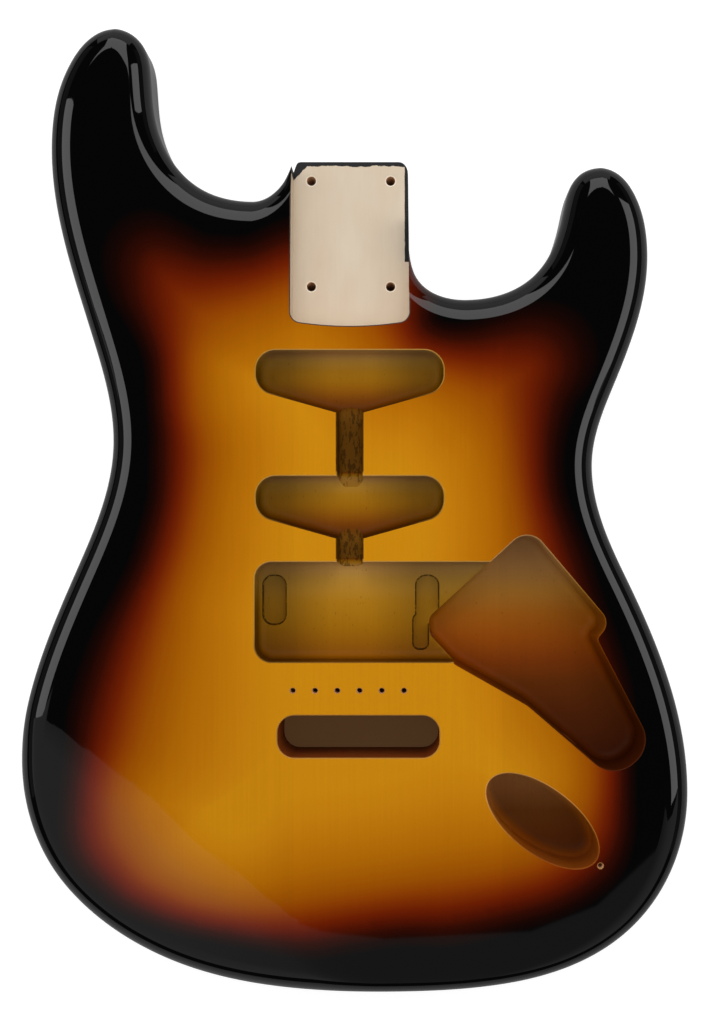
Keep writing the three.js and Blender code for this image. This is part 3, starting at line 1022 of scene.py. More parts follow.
    def bridge_holes(self) -> list[Routing]:
        """Draws the bridge screw holes, the block's slot and the spring cavity.

        Returns:
            The cutters.
        """
        made = []
        for index in range(self.screw_count):
            place = index - (self.screw_count - 1) / 2
            centre = (self.centreline_x + self.screw_shift_x + place * self.screw_spacing,
                      self.bridge_line_y)
            made.append(self.drill("bridge_screw_hole", centre, self.small_hole,
                                   self.screw_depth, lip=self.small_lip))
        x, y = self.centreline_x, self.bridge_line_y - self.slot_below_bridge_line
        width, height = self.slot_size
        shape = rounded_box(
            about(x + self.slot_shift_x, width), about(y, height), self.slot_corner_radius)
        made.append(self.cut("block_slot", shape, self.thickness, through=True, slot=Slot.PORT))
        far_y = y - height / 2
        shape = rounded_box(about(x, self.spring_width), (far_y, far_y + self.spring_length),
                            self.spring_corner_radius)
        made.append(self.cut("spring_cavity", shape, self.spring_depth(), face=Face.BACK,
                             fillet=self.spring_fillet, slot=Slot.PORT))
        return made

    def reaches(self) -> dict[Slot, list[Pair]]:
        """Finds where the lacquered hollows start and end.

        Returns:
            For each kind of surface, the y of the neck side and of the tail side of its
            hollows.
        """
        bridge_top = self.bridge_line_y + self.bridge_from_bridge
        reaches = [(self.bridge_line_y + from_bridge,
                    self.bridge_line_y + from_bridge - self.pickup_height)
                   for from_bridge in self.pickups_from_bridge]
        reaches.append((bridge_top, bridge_top - self.bridge_height - self.bridge_shade_overrun))
        control_top = self.bridge_line_y + self.control_from_bridge
        jack_y, jack_half = self.jack_centre()[1], self.jack_size[0] / 2
        return {
            Slot.CAVITY: reaches,
            Slot.CHANNEL: reaches,
            Slot.CONTROL: [(control_top, control_top - self.control_height)],
            Slot.JACK: [(jack_y + jack_half, jack_y - jack_half)],
        }

    def spring_depth(self) -> float:
        """Gives the spring cavity's depth, which leaves a roof under the bridge cavity."""
        return self.thickness - self.bridge_depth - self.spring_roof

    def wire_holes(self) -> list[bpy.types.Object]:
        """Drills the slanted ways for the wires.

        Returns:
            The drills, as closed objects.
        """
        inset = self.control_fillet + self.jack_wire
        lower = self.control_corner(self.control_tail_corner)
        bass = self.control_corner(self.control_bass_corner)
        ground_z = self.spring_depth() - self.ground_wire
        ways = [
            ((lower[0] - inset, lower[1] + 2 * inset, self.wire_height),
             (*self.jack_centre(), self.wire_height + self.jack_wire), self.jack_wire),
            ((bass[0] + inset, bass[1], ground_z),
             (self.centreline_x + self.spring_width / 2 - inset, bass[1], ground_z),
             self.ground_wire),
        ]
        made = []
        for start, end, diameter in ways:
            way = Vector(end) - Vector(start)
            turn = way.to_track_quat("Z", "Y").to_matrix().to_4x4()
            middle = Matrix.Translation((Vector(start) + Vector(end)) / 2)
            mesh = bmesh.new()
            bmesh.ops.create_cone(
                mesh, cap_ends=True, segments=self.wire_sides, radius1=diameter / 2,
                radius2=diameter / 2, depth=way.length, matrix=middle @ turn)
            made.append(solid_of("wire_hole", mesh, Slot.PORT))
        return made

    def build(self, open_y: float) -> list[bpy.types.Object]:
        """Builds every cutter.

        Args:
            open_y: How far the neck pocket runs out past the heel.

        Returns:
            The cutters, as closed objects.
        """
        routings = (self.neck_pocket(open_y) + self.pickup_cavities() + self.bridge_cavity()
                    + self.control_and_jack() + self.bridge_holes())
        return [routing.build() for routing in routings] + self.wire_holes()


# Finishes


def linear(red: float, green: float, blue: float) -> Shade:
    """Turns a screen colour into the linear one that a shader takes.

    Args:
        red: Its red, from 0 to 255.
        green: Its green.
        blue: Its blue.

    Returns:
        The linear colour, opaque.
    """
    parts = [part / 255 for part in (red, green, blue)]
    lines = [part / 12.92 if part <= 0.04045 else ((part + 0.055) / 1.055)**2.4
             for part in parts]
    return lines[0], lines[1], lines[2], 1.0


def linear_stops(stops: Stops) -> list[tuple[float, Shade]]:
    """Makes the colours of stops linear."""
    return [(place, linear(*colour)) for place, colour in stops]


class Signal:
    """A value in a material. Sums on it add their own Math nodes."""

    def __init__(self, sheet: "NodeSheet", socket: bpy.types.NodeSocket) -> None:
        """Wraps an output socket of a sheet's node."""
        self.sheet = sheet
        self.socket = socket

    def __add__(self, other: object) -> "Signal":
        """Adds a value."""
        return self.sheet.math("ADD", self, other)

    def __radd__(self, other: object) -> "Signal":
        """Adds to a value."""
        return self.sheet.math("ADD", other, self)

    def __sub__(self, other: object) -> "Signal":
        """Takes a value away."""
        return self.sheet.math("SUBTRACT", self, other)

    def __rsub__(self, other: object) -> "Signal":
        """Is taken away from a value."""
        return self.sheet.math("SUBTRACT", other, self)

    def __mul__(self, other: object) -> "Signal":
        """Multiplies by a value."""
        return self.sheet.math("MULTIPLY", self, other)

    def __rmul__(self, other: object) -> "Signal":
        """Multiplies a value."""
        return self.sheet.math("MULTIPLY", other, self)


@dataclass(frozen=True)
class Noise:
    """A pattern of streaks or patches.

    Repeats are per millimetre along each axis. Detail is its octaves, and roughness is how
    strong the finer ones are.
    """

    repeats: tuple[float, float, float]
    detail: float = 3.0
    roughness: float = 0.6


class NodeSheet:
    """The nodes of a material or a world, which starts with one plain shader."""

    def __init__(self, holder: bpy.types.ID, shader: str, constants: dict[str, object]) -> None:
        """Opens the nodes and sets what is the same everywhere.

        Args:
            holder: The new material or world.
            shader: The type of the shader that it starts with.
            constants: A value for each of that shader's sockets that is changed.
        """
        holder.use_nodes = True
        self.tree = holder.node_tree
        self.shader = next(item for item in self.tree.nodes if item.type == shader)
        for socket, value in constants.items():
            self.shader.inputs[socket].default_value = value

    def node(self, kind: str, settings: dict[str, object], inputs: dict[object, object],
             output: object = 0) -> Signal:
        """Adds a node of any kind.

        Args:
            kind: The node's type.
            settings: What is set on the node itself, first of all.
            inputs: A value or a Signal for each input socket, by name or number.
            output: The output socket that is wanted, by name or number.

        Returns:
            That output.
        """
        made = self.tree.nodes.new(kind)
        for key, value in settings.items():
            if key == "stops":
                self.set_stops(made.color_ramp, value)
            else:
                setattr(made, key, value)
        for key, value in inputs.items():
            if isinstance(value, Signal):
                self.tree.links.new(value.socket, made.inputs[key])
            else:
                made.inputs[key].default_value = value
        return Signal(self, made.outputs[output])

    @staticmethod
    def set_stops(ramp: bpy.types.ColorRamp, stops: Sequence[tuple[float, tuple]]) -> None:
        """Gives a colour ramp its stops.

        Args:
            ramp: The ramp.
            stops: Each stop's place and colour, in rising order.
        """
        elements = ramp.elements
        while len(elements) > 1:
            elements.remove(elements[-1])
        elements[0].position, elements[0].color = stops[0]
        for place, colour in stops[1:]:
            elements.new(place).color = colour

    def place(self, repeats: tuple[float, float, float], shift: float = 0.0) -> Signal:
        """Gives the place on the object in repeats of a pattern.

        Args:
            repeats: Repeats per millimetre along each axis.
            shift: How many repeats it is moved by along x.

        Returns:
            The vector.
        """
        place = self.node("ShaderNodeTexCoord", {}, {}, "Object")
        per_metre = tuple(part / MM for part in repeats)
        return self.node("ShaderNodeMapping", {}, {
            "Vector": place, "Scale": per_metre, "Location": (shift, 0, 0)})

    def math(self, operation: str, *values: object) -> Signal:
        """Adds a Math node that works on values."""
        return self.node("ShaderNodeMath", {"operation": operation}, dict(enumerate(values)))

    def axis(self, name: str) -> Signal:
        """Gives one coordinate of the place on the object in millimetres."""
        return self.node("ShaderNodeSeparateXYZ", {}, {
            "Vector": self.place((1.0, 1.0, 1.0))}, name)

    def larger(self, first: object, second: object) -> Signal:
        """Gives the larger of two values."""
        return self.math("MAXIMUM", first, second)

    def attribute(self, name: str) -> Signal:
        """Reads a value that the mesh carries."""
        return self.node("ShaderNodeAttribute", {"attribute_name": name}, {}, "Fac")

    def noise(self, noise: Noise, shift: float = 0.0) -> Signal:
        """Adds a noise.

        Args:
            noise: The pattern.
            shift: Where along x the wood starts in it, in repeats.

        Returns:
            The noise, from 0 to 1 and about 0.5.
        """
        return self.node("ShaderNodeTexNoise", {}, {
            "Vector": self.place(noise.repeats, shift), "Scale": 1.0, "Detail": noise.detail,
            "Roughness": noise.roughness}, "Fac")

    def span(self, value: Signal, low: float, high: float, to_low: float = 0.0,
             to_high: float = 1.0) -> Signal:
        """Maps a span of values onto another and holds its ends.

        Args:
            value: The value.
            low: The span's start.
            high: The span's end.
            to_low: What the start becomes.
            to_high: What the end becomes.

        Returns:
            The new value.
        """
        return self.node("ShaderNodeMapRange", {"clamp": True}, {
            "Value": value, "From Min": low, "From Max": high, "To Min": to_low,
            "To Max": to_high})

    def distance(self, value: Signal, other: float) -> Signal:
        """Gives how far a value is from a number."""
        return self.math("ABSOLUTE", value - other)

    def over(self, value: Signal, limit: float) -> Signal:
        """Gives 1 where a value is over a limit and 0 elsewhere."""
        return self.math("GREATER_THAN", value, limit)

    def band(self, value: Signal, low: float, high: float) -> Signal:
        """Gives 1 where a value is over one limit and not over another, and 0 elsewhere."""
        return self.over(value, low) * (1.0 - self.over(value, high))

    def ramp(self, value: Signal, stops: Sequence[tuple[float, tuple]]) -> Signal:
        """Looks a value up in a colour ramp."""
        return self.node("ShaderNodeValToRGB", {"stops": stops}, {"Fac": value}, "Color")

    def mix(self, share: object, first: object, second: object, blend: str = "MIX") -> Signal:
        """Mixes two colours.

        Args:
            share: How much of the second.
            first: The colour underneath.
            second: The colour on top.
            blend: The way that they mix.

        Returns:
            The mixed colour.
        """
        return self.node(
            "ShaderNodeMix", {"data_type": "RGBA", "blend_type": blend},
            {0: share, 6: first, 7: second}, 2)

    def grey(self, value: Signal) -> Signal:
        """Turns a value into a grey colour."""
        return self.node("ShaderNodeCombineColor", {}, {0: value, 1: value, 2: value})

    def feed(self, socket: str, value: Signal) -> None:
        """Links a value to a socket of the shader."""
        self.tree.links.new(value.socket, self.shader.inputs[socket])


@dataclass(frozen=True)
class Burst:
    """The sprayed sunburst, from the amber middle to the black edge.

    The burst attribute is 0 on the line where the amber starts to darken and 1 on the line
    where it is nearly black. Stops are its values with their colours on screen.
    """

    name: str = "burst"
    low: float = -2.0
    high: float = 1.8
    stops: Stops = (
        (-2.0, (203, 135, 14)), (-1.4, (198, 127, 12)), (-0.8, (187, 114, 7)),
        (-0.4, (178, 105, 4)), (0.0, (164, 89, 1)), (0.2, (156, 80, 1)), (0.4, (145, 66, 1)),
        (0.6, (129, 48, 1)), (0.8, (109, 30, 1)), (1.0, (82, 18, 1)), (1.2, (48, 9, 1)),
        (1.4, (23, 4, 1)), (1.6, (4, 3, 3)),
    )
    amber_line_shares: Pairs = (
        (-0.09, 0.415), (-0.185, 0.41), (-0.265, 0.385), (-0.35, 0.36), (-0.43, 0.31),
        (-0.43, 0.22), (-0.405, 0.16), (-0.395, 0.1), (-0.415, 0.01), (-0.44, -0.08),
        (-0.49, -0.18), (-0.515, -0.265), (-0.555, -0.39), (-0.595, -0.49), (-0.64, -0.55),
        (-0.665, -0.6), (-0.645, -0.67), (-0.58, -0.74), (-0.445, -0.785), (-0.29, -0.795),
        (-0.155, -0.775), (-0.025, -0.76), (0.115, -0.745), (0.255, -0.73), (0.405, -0.715),
        (0.52, -0.695), (0.6, -0.655), (0.66, -0.595), (0.67, -0.515), (0.61, -0.39),
        (0.54, -0.245), (0.475, -0.125), (0.455, -0.04), (0.43, 0.06), (0.4, 0.145),
        (0.34, 0.205), (0.23, 0.25), (0.125, 0.275), (0.055, 0.33), (-0.005, 0.375),
    )
    dark_line_shares: Pairs = (
        (-0.19, 0.53), (-0.305, 0.5), (-0.435, 0.49), (-0.53, 0.5), (-0.585, 0.5),
        (-0.595, 0.45), (-0.575, 0.385), (-0.555, 0.315), (-0.545, 0.215), (-0.53, 0.125),
        (-0.54, 0.02), (-0.58, -0.09), (-0.64, -0.195), (-0.69, -0.285), (-0.735, -0.39),
        (-0.765, -0.48), (-0.8, -0.595), (-0.79, -0.695), (-0.71, -0.77), (-0.63, -0.81),
        (-0.495, -0.845), (-0.32, -0.865), (-0.155, -0.87), (-0.01, -0.855), (0.14, -0.84),
        (0.285, -0.835), (0.435, -0.815), (0.585, -0.785), (0.7, -0.735), (0.755, -0.675),
        (0.775, -0.595), (0.775, -0.49), (0.755, -0.39), (0.71, -0.285), (0.65, -0.165),
        (0.595, -0.05), (0.56, 0.04), (0.55, 0.135), (0.56, 0.225), (0.58, 0.3),
        (0.52, 0.335), (0.345, 0.33), (0.23, 0.345), (0.175, 0.385), (0.15, 0.51),
        (-0.025, 0.555),
    )
    curve_steps: int = 16
    least_width: float = 1.0

    def write_on(self, data: bpy.types.Mesh, outline: Outline) -> None:
        """Writes the burst attribute on a mesh that is still in millimetres.

        Args:
            data: The mesh.
            outline: The outline that the shares belong to.
        """
        spots = spots_of(data)
        amber = self.outside(outline.at_shares(self.amber_line_shares), spots)
        dark = self.outside(outline.at_shares(self.dark_line_shares), spots)
        write_values(data, self.name, amber / np.maximum(amber - dark, self.least_width))

    def outside(self, places: np.ndarray, spots: np.ndarray) -> np.ndarray:
        """Measures how far places lie outside a closed curve, seen from above.

        Args:
            places: The points that the curve passes through.
            spots: The places.

        Returns:
            The distances, negative inside.
        """
        curve = closed_spline(places, self.curve_steps)
        following = np.roll(curve, -1, axis=0)
        area = (curve[:, 0] * following[:, 1] - following[:, 0] * curve[:, 1]).sum()
        out = outward_of(curve) * math.copysign(1, area)
        tree = tree_of(curve)
        away = np.empty(len(spots))
        for number, (x, y, _) in enumerate(spots):
            _, index, distance = tree.find((x, y, 0))
            side = (x - curve[index, 0]) * out[index, 0] + (y - curve[index, 1]) * out[index, 1]
            away[number] = math.copysign(distance, side)
        return away

    def colour(self, sheet: NodeSheet) -> Signal:
        """Gives the burst's colour in a material.

        Args:
            sheet: The material's nodes.

        Returns:
            The colour.
        """
        value = sheet.span(sheet.attribute(self.name), self.low, self.high)
        width = self.high - self.low
        return sheet.ramp(value, [
            ((place - self.low) / width, colour) for place, colour in linear_stops(self.stops)])


@dataclass(frozen=True)
class Board:
    """A board's name, how light its wood is and where in the grain it starts."""

    name: str
    tone: float
    grain_shift: float


@dataclass(frozen=True, kw_only=True)
class Finish:
    """A finish, which is a material of its own on each board."""

    name: str
    roughness: float
    gloss: float = 0.5

    def on(self, board: Board) -> bpy.types.Material:
        """Gives the finish of one board, and makes it the first time.

        Args:
            board: The board.

        Returns:
            The material.
        """
        label = f"{board.name}_{self.name}"
        material = bpy.data.materials.get(label)
        if material is None:
            material = bpy.data.materials.new(label)
            sheet = NodeSheet(material, PRINCIPLED, {
                "Roughness": self.roughness, "Specular IOR Level": self.gloss})
            sheet.feed("Base Color", self.colour(sheet, board))
        return material

    def colour(self, sheet: NodeSheet, board: Board) -> Signal:
        """Gives the colour all over one board. Each finish has its own way.

        Args:
            sheet: The nodes of the board's material.
            board: The board.

        Returns:
            The colour.
        """
        raise NotImplementedError


@dataclass(frozen=True, kw_only=True)
class Lacquer(Finish):
    """Lacquer that the grain of the wood shows through."""

    grain: Noise
    contrast: float

    def over_wood(self, sheet: NodeSheet, board: Board, colour: Signal, light: object
                  ) -> Signal:
        """Shades a colour by the wood under it.

        Args:
            sheet: The nodes of the board's material.
            board: The board.
            colour: The lacquer's colour.
            light: How light it is apart from the wood; in a hollow it holds painted shade and the
                pits.

        Returns:
            The shaded colour.
        """
        grain = sheet.noise(self.grain, board.grain_shift)
        wood = light * (board.tone + (grain - 0.5) * self.contrast)
        return sheet.mix(1.0, colour, sheet.grey(wood), "MULTIPLY")


@dataclass(frozen=True, kw_only=True)
class OutsideLacquer(Lacquer):
    """Clear gloss lacquer over the burst, on the outside of the body."""

    burst: Burst
    name: str = "gloss_lacquer"
    roughness: float = 0.03
    grain: Noise = Noise((0.9, 0.012, 0.05), detail=4.0)
    contrast: float = 0.14

    def colour(self, sheet: NodeSheet, board: Board) -> Signal:
        """Gives the burst's colour with the grain in it.

        Args:
            sheet: The nodes of the board's material.
            board: The board.

        Returns:
            The colour.
        """
        return self.over_wood(sheet, board, self.burst.colour(sheet), 1.0)


@dataclass(frozen=True, kw_only=True)
class HollowLacquerAndPaintedLight(Lacquer):
    """Thin matt lacquer in a routed hollow, with painted light and shade on it.

    The fall attribute is 0 at the hollow's neck side and 1 at its tail side. Stops are its
    values with their colours on screen. In most hollows they paint a pale haze of reflection
    near the neck side, and they darken towards the tail side partly with the lacquer's own
    colour and partly as painted shade. The painted shade of the sides starts and is full at
    side_span, in millimetres from the centre line. The painted shade of the walls does so at
    wall_span, in millimetres from the floor, and at wall_fall, in the fall; a wall_shade under
    0 paints light there instead. The painted highlight on the rim fades and is gone at
    rim_highlight_fall.
    """

    stops: Stops
    floor_z: float
    rim_z: float
    roughness: float = 0.42
    gloss: float = 0.06
    grain: Noise = Noise((0.8, 0.02, 0.05), detail=4.0)
    contrast: float = 0.16
    attribute: str = "fall"
    centreline_x: float = 0.0
    side_shade: float = 0.0
    side_span: Pair = (10.0, 30.0)
    wall_shade: float = 0.35
    wall_span: Pair = (0.2, 3.0)
    wall_fall: Pair = (0.1, 0.35)
    pit_size: float = 0.9
    pit_stretch: float = 3.0
    pit_roughness: float = 0.7
    pit_limit: float = 0.68
    pit_shade: float = 0.45
    rim_highlight_share: float = 0.55
    rim_highlight_fall: Pair = (0.5, 0.8)
    rim_highlight_colour: Colour = (214, 160, 70)
    ear_span: Pair = (0.0, 0.0)
    ear_patches: Noise = Noise((0.7, 0.7, 0.7), roughness=0.7)
    ear_limit: float = 0.42
    ear_shade: float = 0.75

    def colour(self, sheet: NodeSheet, board: Board) -> Signal:
        """Gives the hollow's colour, by its fall, sides, walls, pits, ears and rim.

        Args:
            sheet: The nodes of the board's material.
            board: The board.

        Returns:
            The colour.
        """
        fall, height = sheet.attribute(self.attribute), sheet.axis("Z")
        # Painted shade at the hollow's ends and low on its walls; under 0, wall_shade paints
        # light.
        beside = sheet.distance(sheet.axis("X"), self.centreline_x)
        side = sheet.span(beside, *self.side_span, 1.0, 1.0 - self.side_shade)
        wall_start, wall_full = (self.floor_z + reach for reach in self.wall_span)
        wall = (sheet.span(height, wall_start, wall_full)
                * sheet.span(fall, *self.wall_fall) * self.wall_shade)
        size = 1 / self.pit_size
        pits = sheet.noise(
            Noise((size, size / self.pit_stretch, size), roughness=self.pit_roughness),
            board.grain_shift)
        light = side * (1.0 - wall) * (1.0 - sheet.over(pits, self.pit_limit) * self.pit_shade)
        low, high = self.ear_span
        if high > low:
            patches = sheet.over(sheet.noise(self.ear_patches), self.ear_limit)
            light = light * (1.0 - sheet.band(height, low, high) * patches * self.ear_shade)
        # The stops hold the lacquer's colour, with a painted haze at the neck side and painted
        # shade.
        colour = sheet.ramp(fall, linear_stops(self.stops))
        colour = self.over_wood(sheet, board, colour, light)
        # A painted highlight on the rim, which fades out down the fall.
        rim = (sheet.over(height, self.rim_z)
               * sheet.span(fall, *self.rim_highlight_fall, self.rim_highlight_share, 0.0))
        return sheet.mix(rim, colour, linear(*self.rim_highlight_colour))


@dataclass(frozen=True, kw_only=True)
class BareWood(Finish):
    """Sanded bare wood in the neck pocket, with black overspray at the heel's rim."""

    end_y: float
    bass_x: float
    treble_x: float
    rim_z: float
    name: str = "bare_wood"
    roughness: float = 0.55
    patches: Noise = Noise((0.09, 0.03, 0.05), roughness=0.5)
    grain: Noise = Noise((1.4, 0.03, 0.1))
    grain_share: float = 0.25
    stops: Stops = ((0.3, (210, 189, 163)), (0.7, (216, 200, 178)))
    black: Colour = (16, 16, 18)
    rim_brown: Colour = (48, 26, 12)
    end_strip: float = 2.1
    side_strip: float = 1.6
    side_reach: float = 48.0
    corner_reach: float = 9.0
    ragged: Noise = Noise((0.22, 0.22, 0.22))
    raggedness: float = 2.4
    side_raggedness_share: float = 0.3

    def colour(self, sheet: NodeSheet, board: Board) -> Signal:
        """Gives the wood's colour, with the overspray on it and a brown rim.

        Args:
            sheet: The nodes of the board's material.
            board: The board.

        Returns:
            The colour.
        """
        patches = sheet.noise(self.patches, board.grain_shift)
        grain = sheet.noise(self.grain, board.grain_shift)
        wood = sheet.ramp(patches * (1 - self.grain_share) + grain * self.grain_share,
                          linear_stops(self.stops))
        x, y = sheet.axis("X"), sheet.axis("Y")
        ragged = (sheet.noise(self.ragged) - 0.5) * self.raggedness
        at_end = sheet.over(y + ragged, self.end_y - self.end_strip)
        at_side = (sheet.over(x + ragged * self.side_raggedness_share,
                              self.treble_x - self.side_strip)
                   * sheet.over(y, self.end_y - self.side_reach))
        at_corner = sheet.over(y - x + ragged, self.end_y - self.bass_x - self.corner_reach)
        sprayed = sheet.larger(sheet.larger(at_end, at_side), at_corner)
        colour = sheet.mix(sprayed, wood, linear(*self.black))
        rim = sheet.over(sheet.axis("Z"), self.rim_z)
        return sheet.mix(rim, colour, linear(*self.rim_brown))


@dataclass(frozen=True, kw_only=True)
class DrilledWood(Finish):
    """End grain inside drilled holes, with a ring at the rim and one at the pocket's floor.

    A ring is its lowest and highest z in millimetres and its colour on screen.
    """

    rings: tuple[tuple[float, float, Colour], ...]
    name: str = "drilled_wood"
    roughness: float = 0.7
    grain: Noise = Noise((0.6, 0.6, 0.1), roughness=0.5)
    stops: Stops = ((0.3, (196, 152, 116)), (0.7, (238, 206, 170)))

    def colour(self, sheet: NodeSheet, board: Board) -> Signal:
        """Gives the end grain's colour, with the rings on it.

        Args:
            sheet: The nodes of the board's material.
            board: The board.

        Returns:
            The colour.
        """
        grain = sheet.noise(self.grain, board.grain_shift)
        colour = sheet.ramp(grain, linear_stops(self.stops))
        height = sheet.axis("Z")
        for low, high, ring in self.rings:
            colour = sheet.mix(sheet.band(height, low, high), colour, linear(*ring))
        return colour


@dataclass
class Body:
    """The routed body, sawn into its boards along its glue lines."""

    outline: Outline
    blank: Blank
    routings: Routings
    burst: Burst = field(default_factory=Burst)
    boards: tuple[Board, ...] = (
        Board("bass", 1.0, 0.0), Board("centre", 1.03, 7.3), Board("treble", 0.98, 13.1))
    fall_attribute: str = "fall"
    sharp_degrees: float = 32.0
    overrun: float = 20.0
    margin: float = 0.001
    board_slot: str = "lacquered_wood"
    glue_slot: str = "dried_glue"
    rim_highlight_depth: float = 0.5
    bare_rim: float = 0.35
    drilled_rim: float = 0.4
    treble_wall_share: float = 0.98
    ear_clear_of_floor: float = 0.12
    ear_clear_of_edge: float = 0.06
    chip_colour: Colour = (240, 228, 208)
    drilled_rim_colour: Colour = (176, 122, 60)
    # The hollows' stops: lacquer colour, with painted haze at the neck side and painted shade at
    # the tail.
    pickup_stops: Stops = (
        (0.0, (190, 144, 84)), (0.12, (182, 135, 50)), (0.28, (172, 119, 18)),
        (0.45, (159, 105, 3)), (0.6, (144, 87, 1)), (0.75, (124, 65, 1)),
        (0.9, (98, 48, 1)), (1.0, (88, 42, 2)),
    )
    channel_stops: Stops = (
        (0.0, (158, 112, 46)), (0.2, (160, 110, 22)), (0.5, (148, 94, 2)),
        (0.8, (116, 59, 1)), (0.9, (108, 62, 4)), (1.0, (114, 72, 12)),
    )
    control_stops: Stops = (
        (0.0, (176, 134, 86)), (0.15, (184, 136, 76)), (0.25, (177, 122, 44)),
        (0.35, (163, 94, 14)), (0.45, (151, 74, 1)), (0.55, (128, 56, 1)),
        (0.64, (106, 48, 1)), (0.76, (95, 40, 2)), (0.92, (86, 34, 5)),
    )
    jack_stops: Stops = (
        (0.2, (172, 122, 66)), (0.38, (134, 86, 38)), (0.5, (108, 60, 12)),
        (0.7, (98, 47, 4)), (0.78, (94, 46, 8)),
    )
    port_stops: Stops = ((0.0, (132, 63, 22)),)

    def build(self) -> list[bpy.types.Object]:
        """Builds, dresses and reports every piece.

        Returns:
            The pieces.
        """
        whole = self.blank.build()
        log.info("blank: %d faces", len(whole.data.polygons))
        combine(whole, self.routings.build(self.outline.length / 2), "DIFFERENCE")
        log.info("routed: %d faces", len(whole.data.polygons))
        pieces = []
        boards = {board.name: board for board in self.boards}
        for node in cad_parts:
            low, high = (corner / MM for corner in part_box(node))
            piece = self.cut_out(whole, node, low, high)
            for slot, finish in self.finishes().items():
                piece.data.materials[slot.value] = finish.on(boards[node.split("_")[0]])
            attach(piece, BODY)
            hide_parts(node)
            pieces.append(piece)
            log.info("%s: %d faces", piece.name, len(piece.data.polygons))
        remove(whole)
        return pieces

    def cut_out(self, whole: bpy.types.Object, node: str, low: Vector, high: Vector
                ) -> bpy.types.Object:
        """Saws one piece out of the body.

        Args:
            whole: The routed body.
            node: The solid that it stands for.
            low: That solid's lowest corner.
            high: Its highest corner.

        Returns:
            The piece, in metres.
        """
        west, east = (corner.x / MM for corner in solid_box)
        low, high = low.copy(), high.copy()
        if low.x <= west + self.margin:
            low.x -= self.overrun
        if high.x >= east - self.margin:
            high.x += self.overrun
        # The slot parts a glue line, so the saw stops there. Elsewhere it runs past the body.
        if "front" not in node:
            low.y -= self.overrun
        if "tail" not in node:
            high.y += self.overrun
        low.z, high.z = -self.overrun, self.outline.thickness + self.overrun
        saw = bmesh.new()
        middle, size = (low + high) / 2, high - low
        bmesh.ops.create_cube(
            saw, size=1.0, matrix=Matrix.Translation(middle) @ Matrix.Diagonal((*size, 1)))
        piece = link(f"finished_{node}", whole.data.copy())
        combine(piece, [solid_of("saw", saw, Slot.DRILLED)], "INTERSECT")
        data = piece.data
        data.name = piece.name
        self.burst.write_on(data, self.outline)
        data.shade_smooth()
        data.set_sharp_from_angle(angle=math.radians(self.sharp_degrees))
        self.write_fall_and_normals(data)
        data.transform(Matrix.Scale(MM, 4))
        return piece

    def write_fall_and_normals(self, data: bpy.types.Mesh) -> None:
        """Writes the fall attribute of the hollows and the true normals of the outside.

        Args:
            data: A mesh that is still in millimetres.
        """
        spots = spots_of(data)
        kinds, totals = (np.empty(len(data.polygons), np.int32) for _ in range(2))
        data.polygons.foreach_get("material_index", kinds)
        data.polygons.foreach_get("loop_total", totals)
        kinds = np.repeat(kinds, totals)
        corners = np.empty(len(data.loops), np.int32)
        data.loops.foreach_get("vertex_index", corners)
        # The fall places the hollows' painted haze and shade: 0 at a neck side, 1 at a tail side.
        fall = np.zeros(len(spots), np.float32)
        for slot, reaches in self.routings.reaches().items():
            held = np.unique(corners[kinds == slot.value])
            y = spots[held, 1]
            for neck_side, tail_side in reaches:
                here = y <= neck_side + self.routings.rim_reach
                fall[held[here]] = np.clip(
                    (neck_side - y[here]) / (neck_side - tail_side), 0, 1)
        write_values(data, self.fall_attribute, fall)
        outside = kinds == Slot.OUTSIDE.value
        normals = np.zeros((len(corners), 3))
        held, places = np.unique(corners[outside], return_inverse=True)
        normals[outside] = self.blank.normals_at(spots[held])[places]
        data.normals_split_custom_set(normals.tolist())

    def finishes(self) -> dict[Slot, Finish]:
        """Gives the finish of each kind of surface.

        Returns:
            The finishes by their slots.
        """
        routings, outline = self.routings, self.outline
        top, half = routings.thickness, outline.pocket_width / 2
        # rim is the height above which every hollow but the control cavity gets a painted rim
        # highlight.
        middle, rim = routings.centreline_x, top - self.rim_highlight_depth
        pocket_floor = top - routings.pocket_depth
        ear_top = top - routings.bridge_depth
        return {
            Slot.OUTSIDE: OutsideLacquer(burst=self.burst),
            # The pickup hollows get painted shade at their ends and low on their walls.
            Slot.CAVITY: HollowLacquerAndPaintedLight(
                name="pickup_lacquer", stops=self.pickup_stops, rim_z=rim,
                floor_z=top - routings.pickup_depth, centreline_x=middle, side_shade=0.36,
                wall_shade=0.5,
                ear_span=(ear_top - routings.ear_depth + self.ear_clear_of_floor,
                          ear_top - self.ear_clear_of_edge)),
            Slot.BARE: BareWood(
                end_y=outline.pocket_end_y + outline.pocket_length, bass_x=middle - half,
                treble_x=middle + self.treble_wall_share * half, rim_z=top - self.bare_rim),
            Slot.DRILLED: DrilledWood(rings=(
                (pocket_floor - 2 * routings.chipped_depth, pocket_floor, self.chip_colour),
                (top - self.drilled_rim, top + self.overrun, self.drilled_rim_colour))),
            Slot.CHANNEL: HollowLacquerAndPaintedLight(
                name="channel_lacquer", stops=self.channel_stops, rim_z=rim,
                floor_z=top - routings.channel_depth, centreline_x=middle, roughness=0.6,
                pit_size=1.6, pit_limit=0.54, pit_shade=0.5),
            Slot.CONTROL: HollowLacquerAndPaintedLight(
                name="control_lacquer", stops=self.control_stops, rim_z=rim,
                floor_z=routings.control_floor, rim_highlight_share=0.0),
            # The jack's walls get painted light, as its wall_shade is under 0.
            Slot.JACK: HollowLacquerAndPaintedLight(
                name="jack_lacquer", stops=self.jack_stops, rim_z=rim,
                floor_z=routings.jack_floor, wall_shade=-1.3, rim_highlight_share=0.3),
            Slot.PORT: HollowLacquerAndPaintedLight(
                name="port_lacquer", stops=self.port_stops, rim_z=rim, floor_z=0.0,
                wall_shade=0.0),
        }


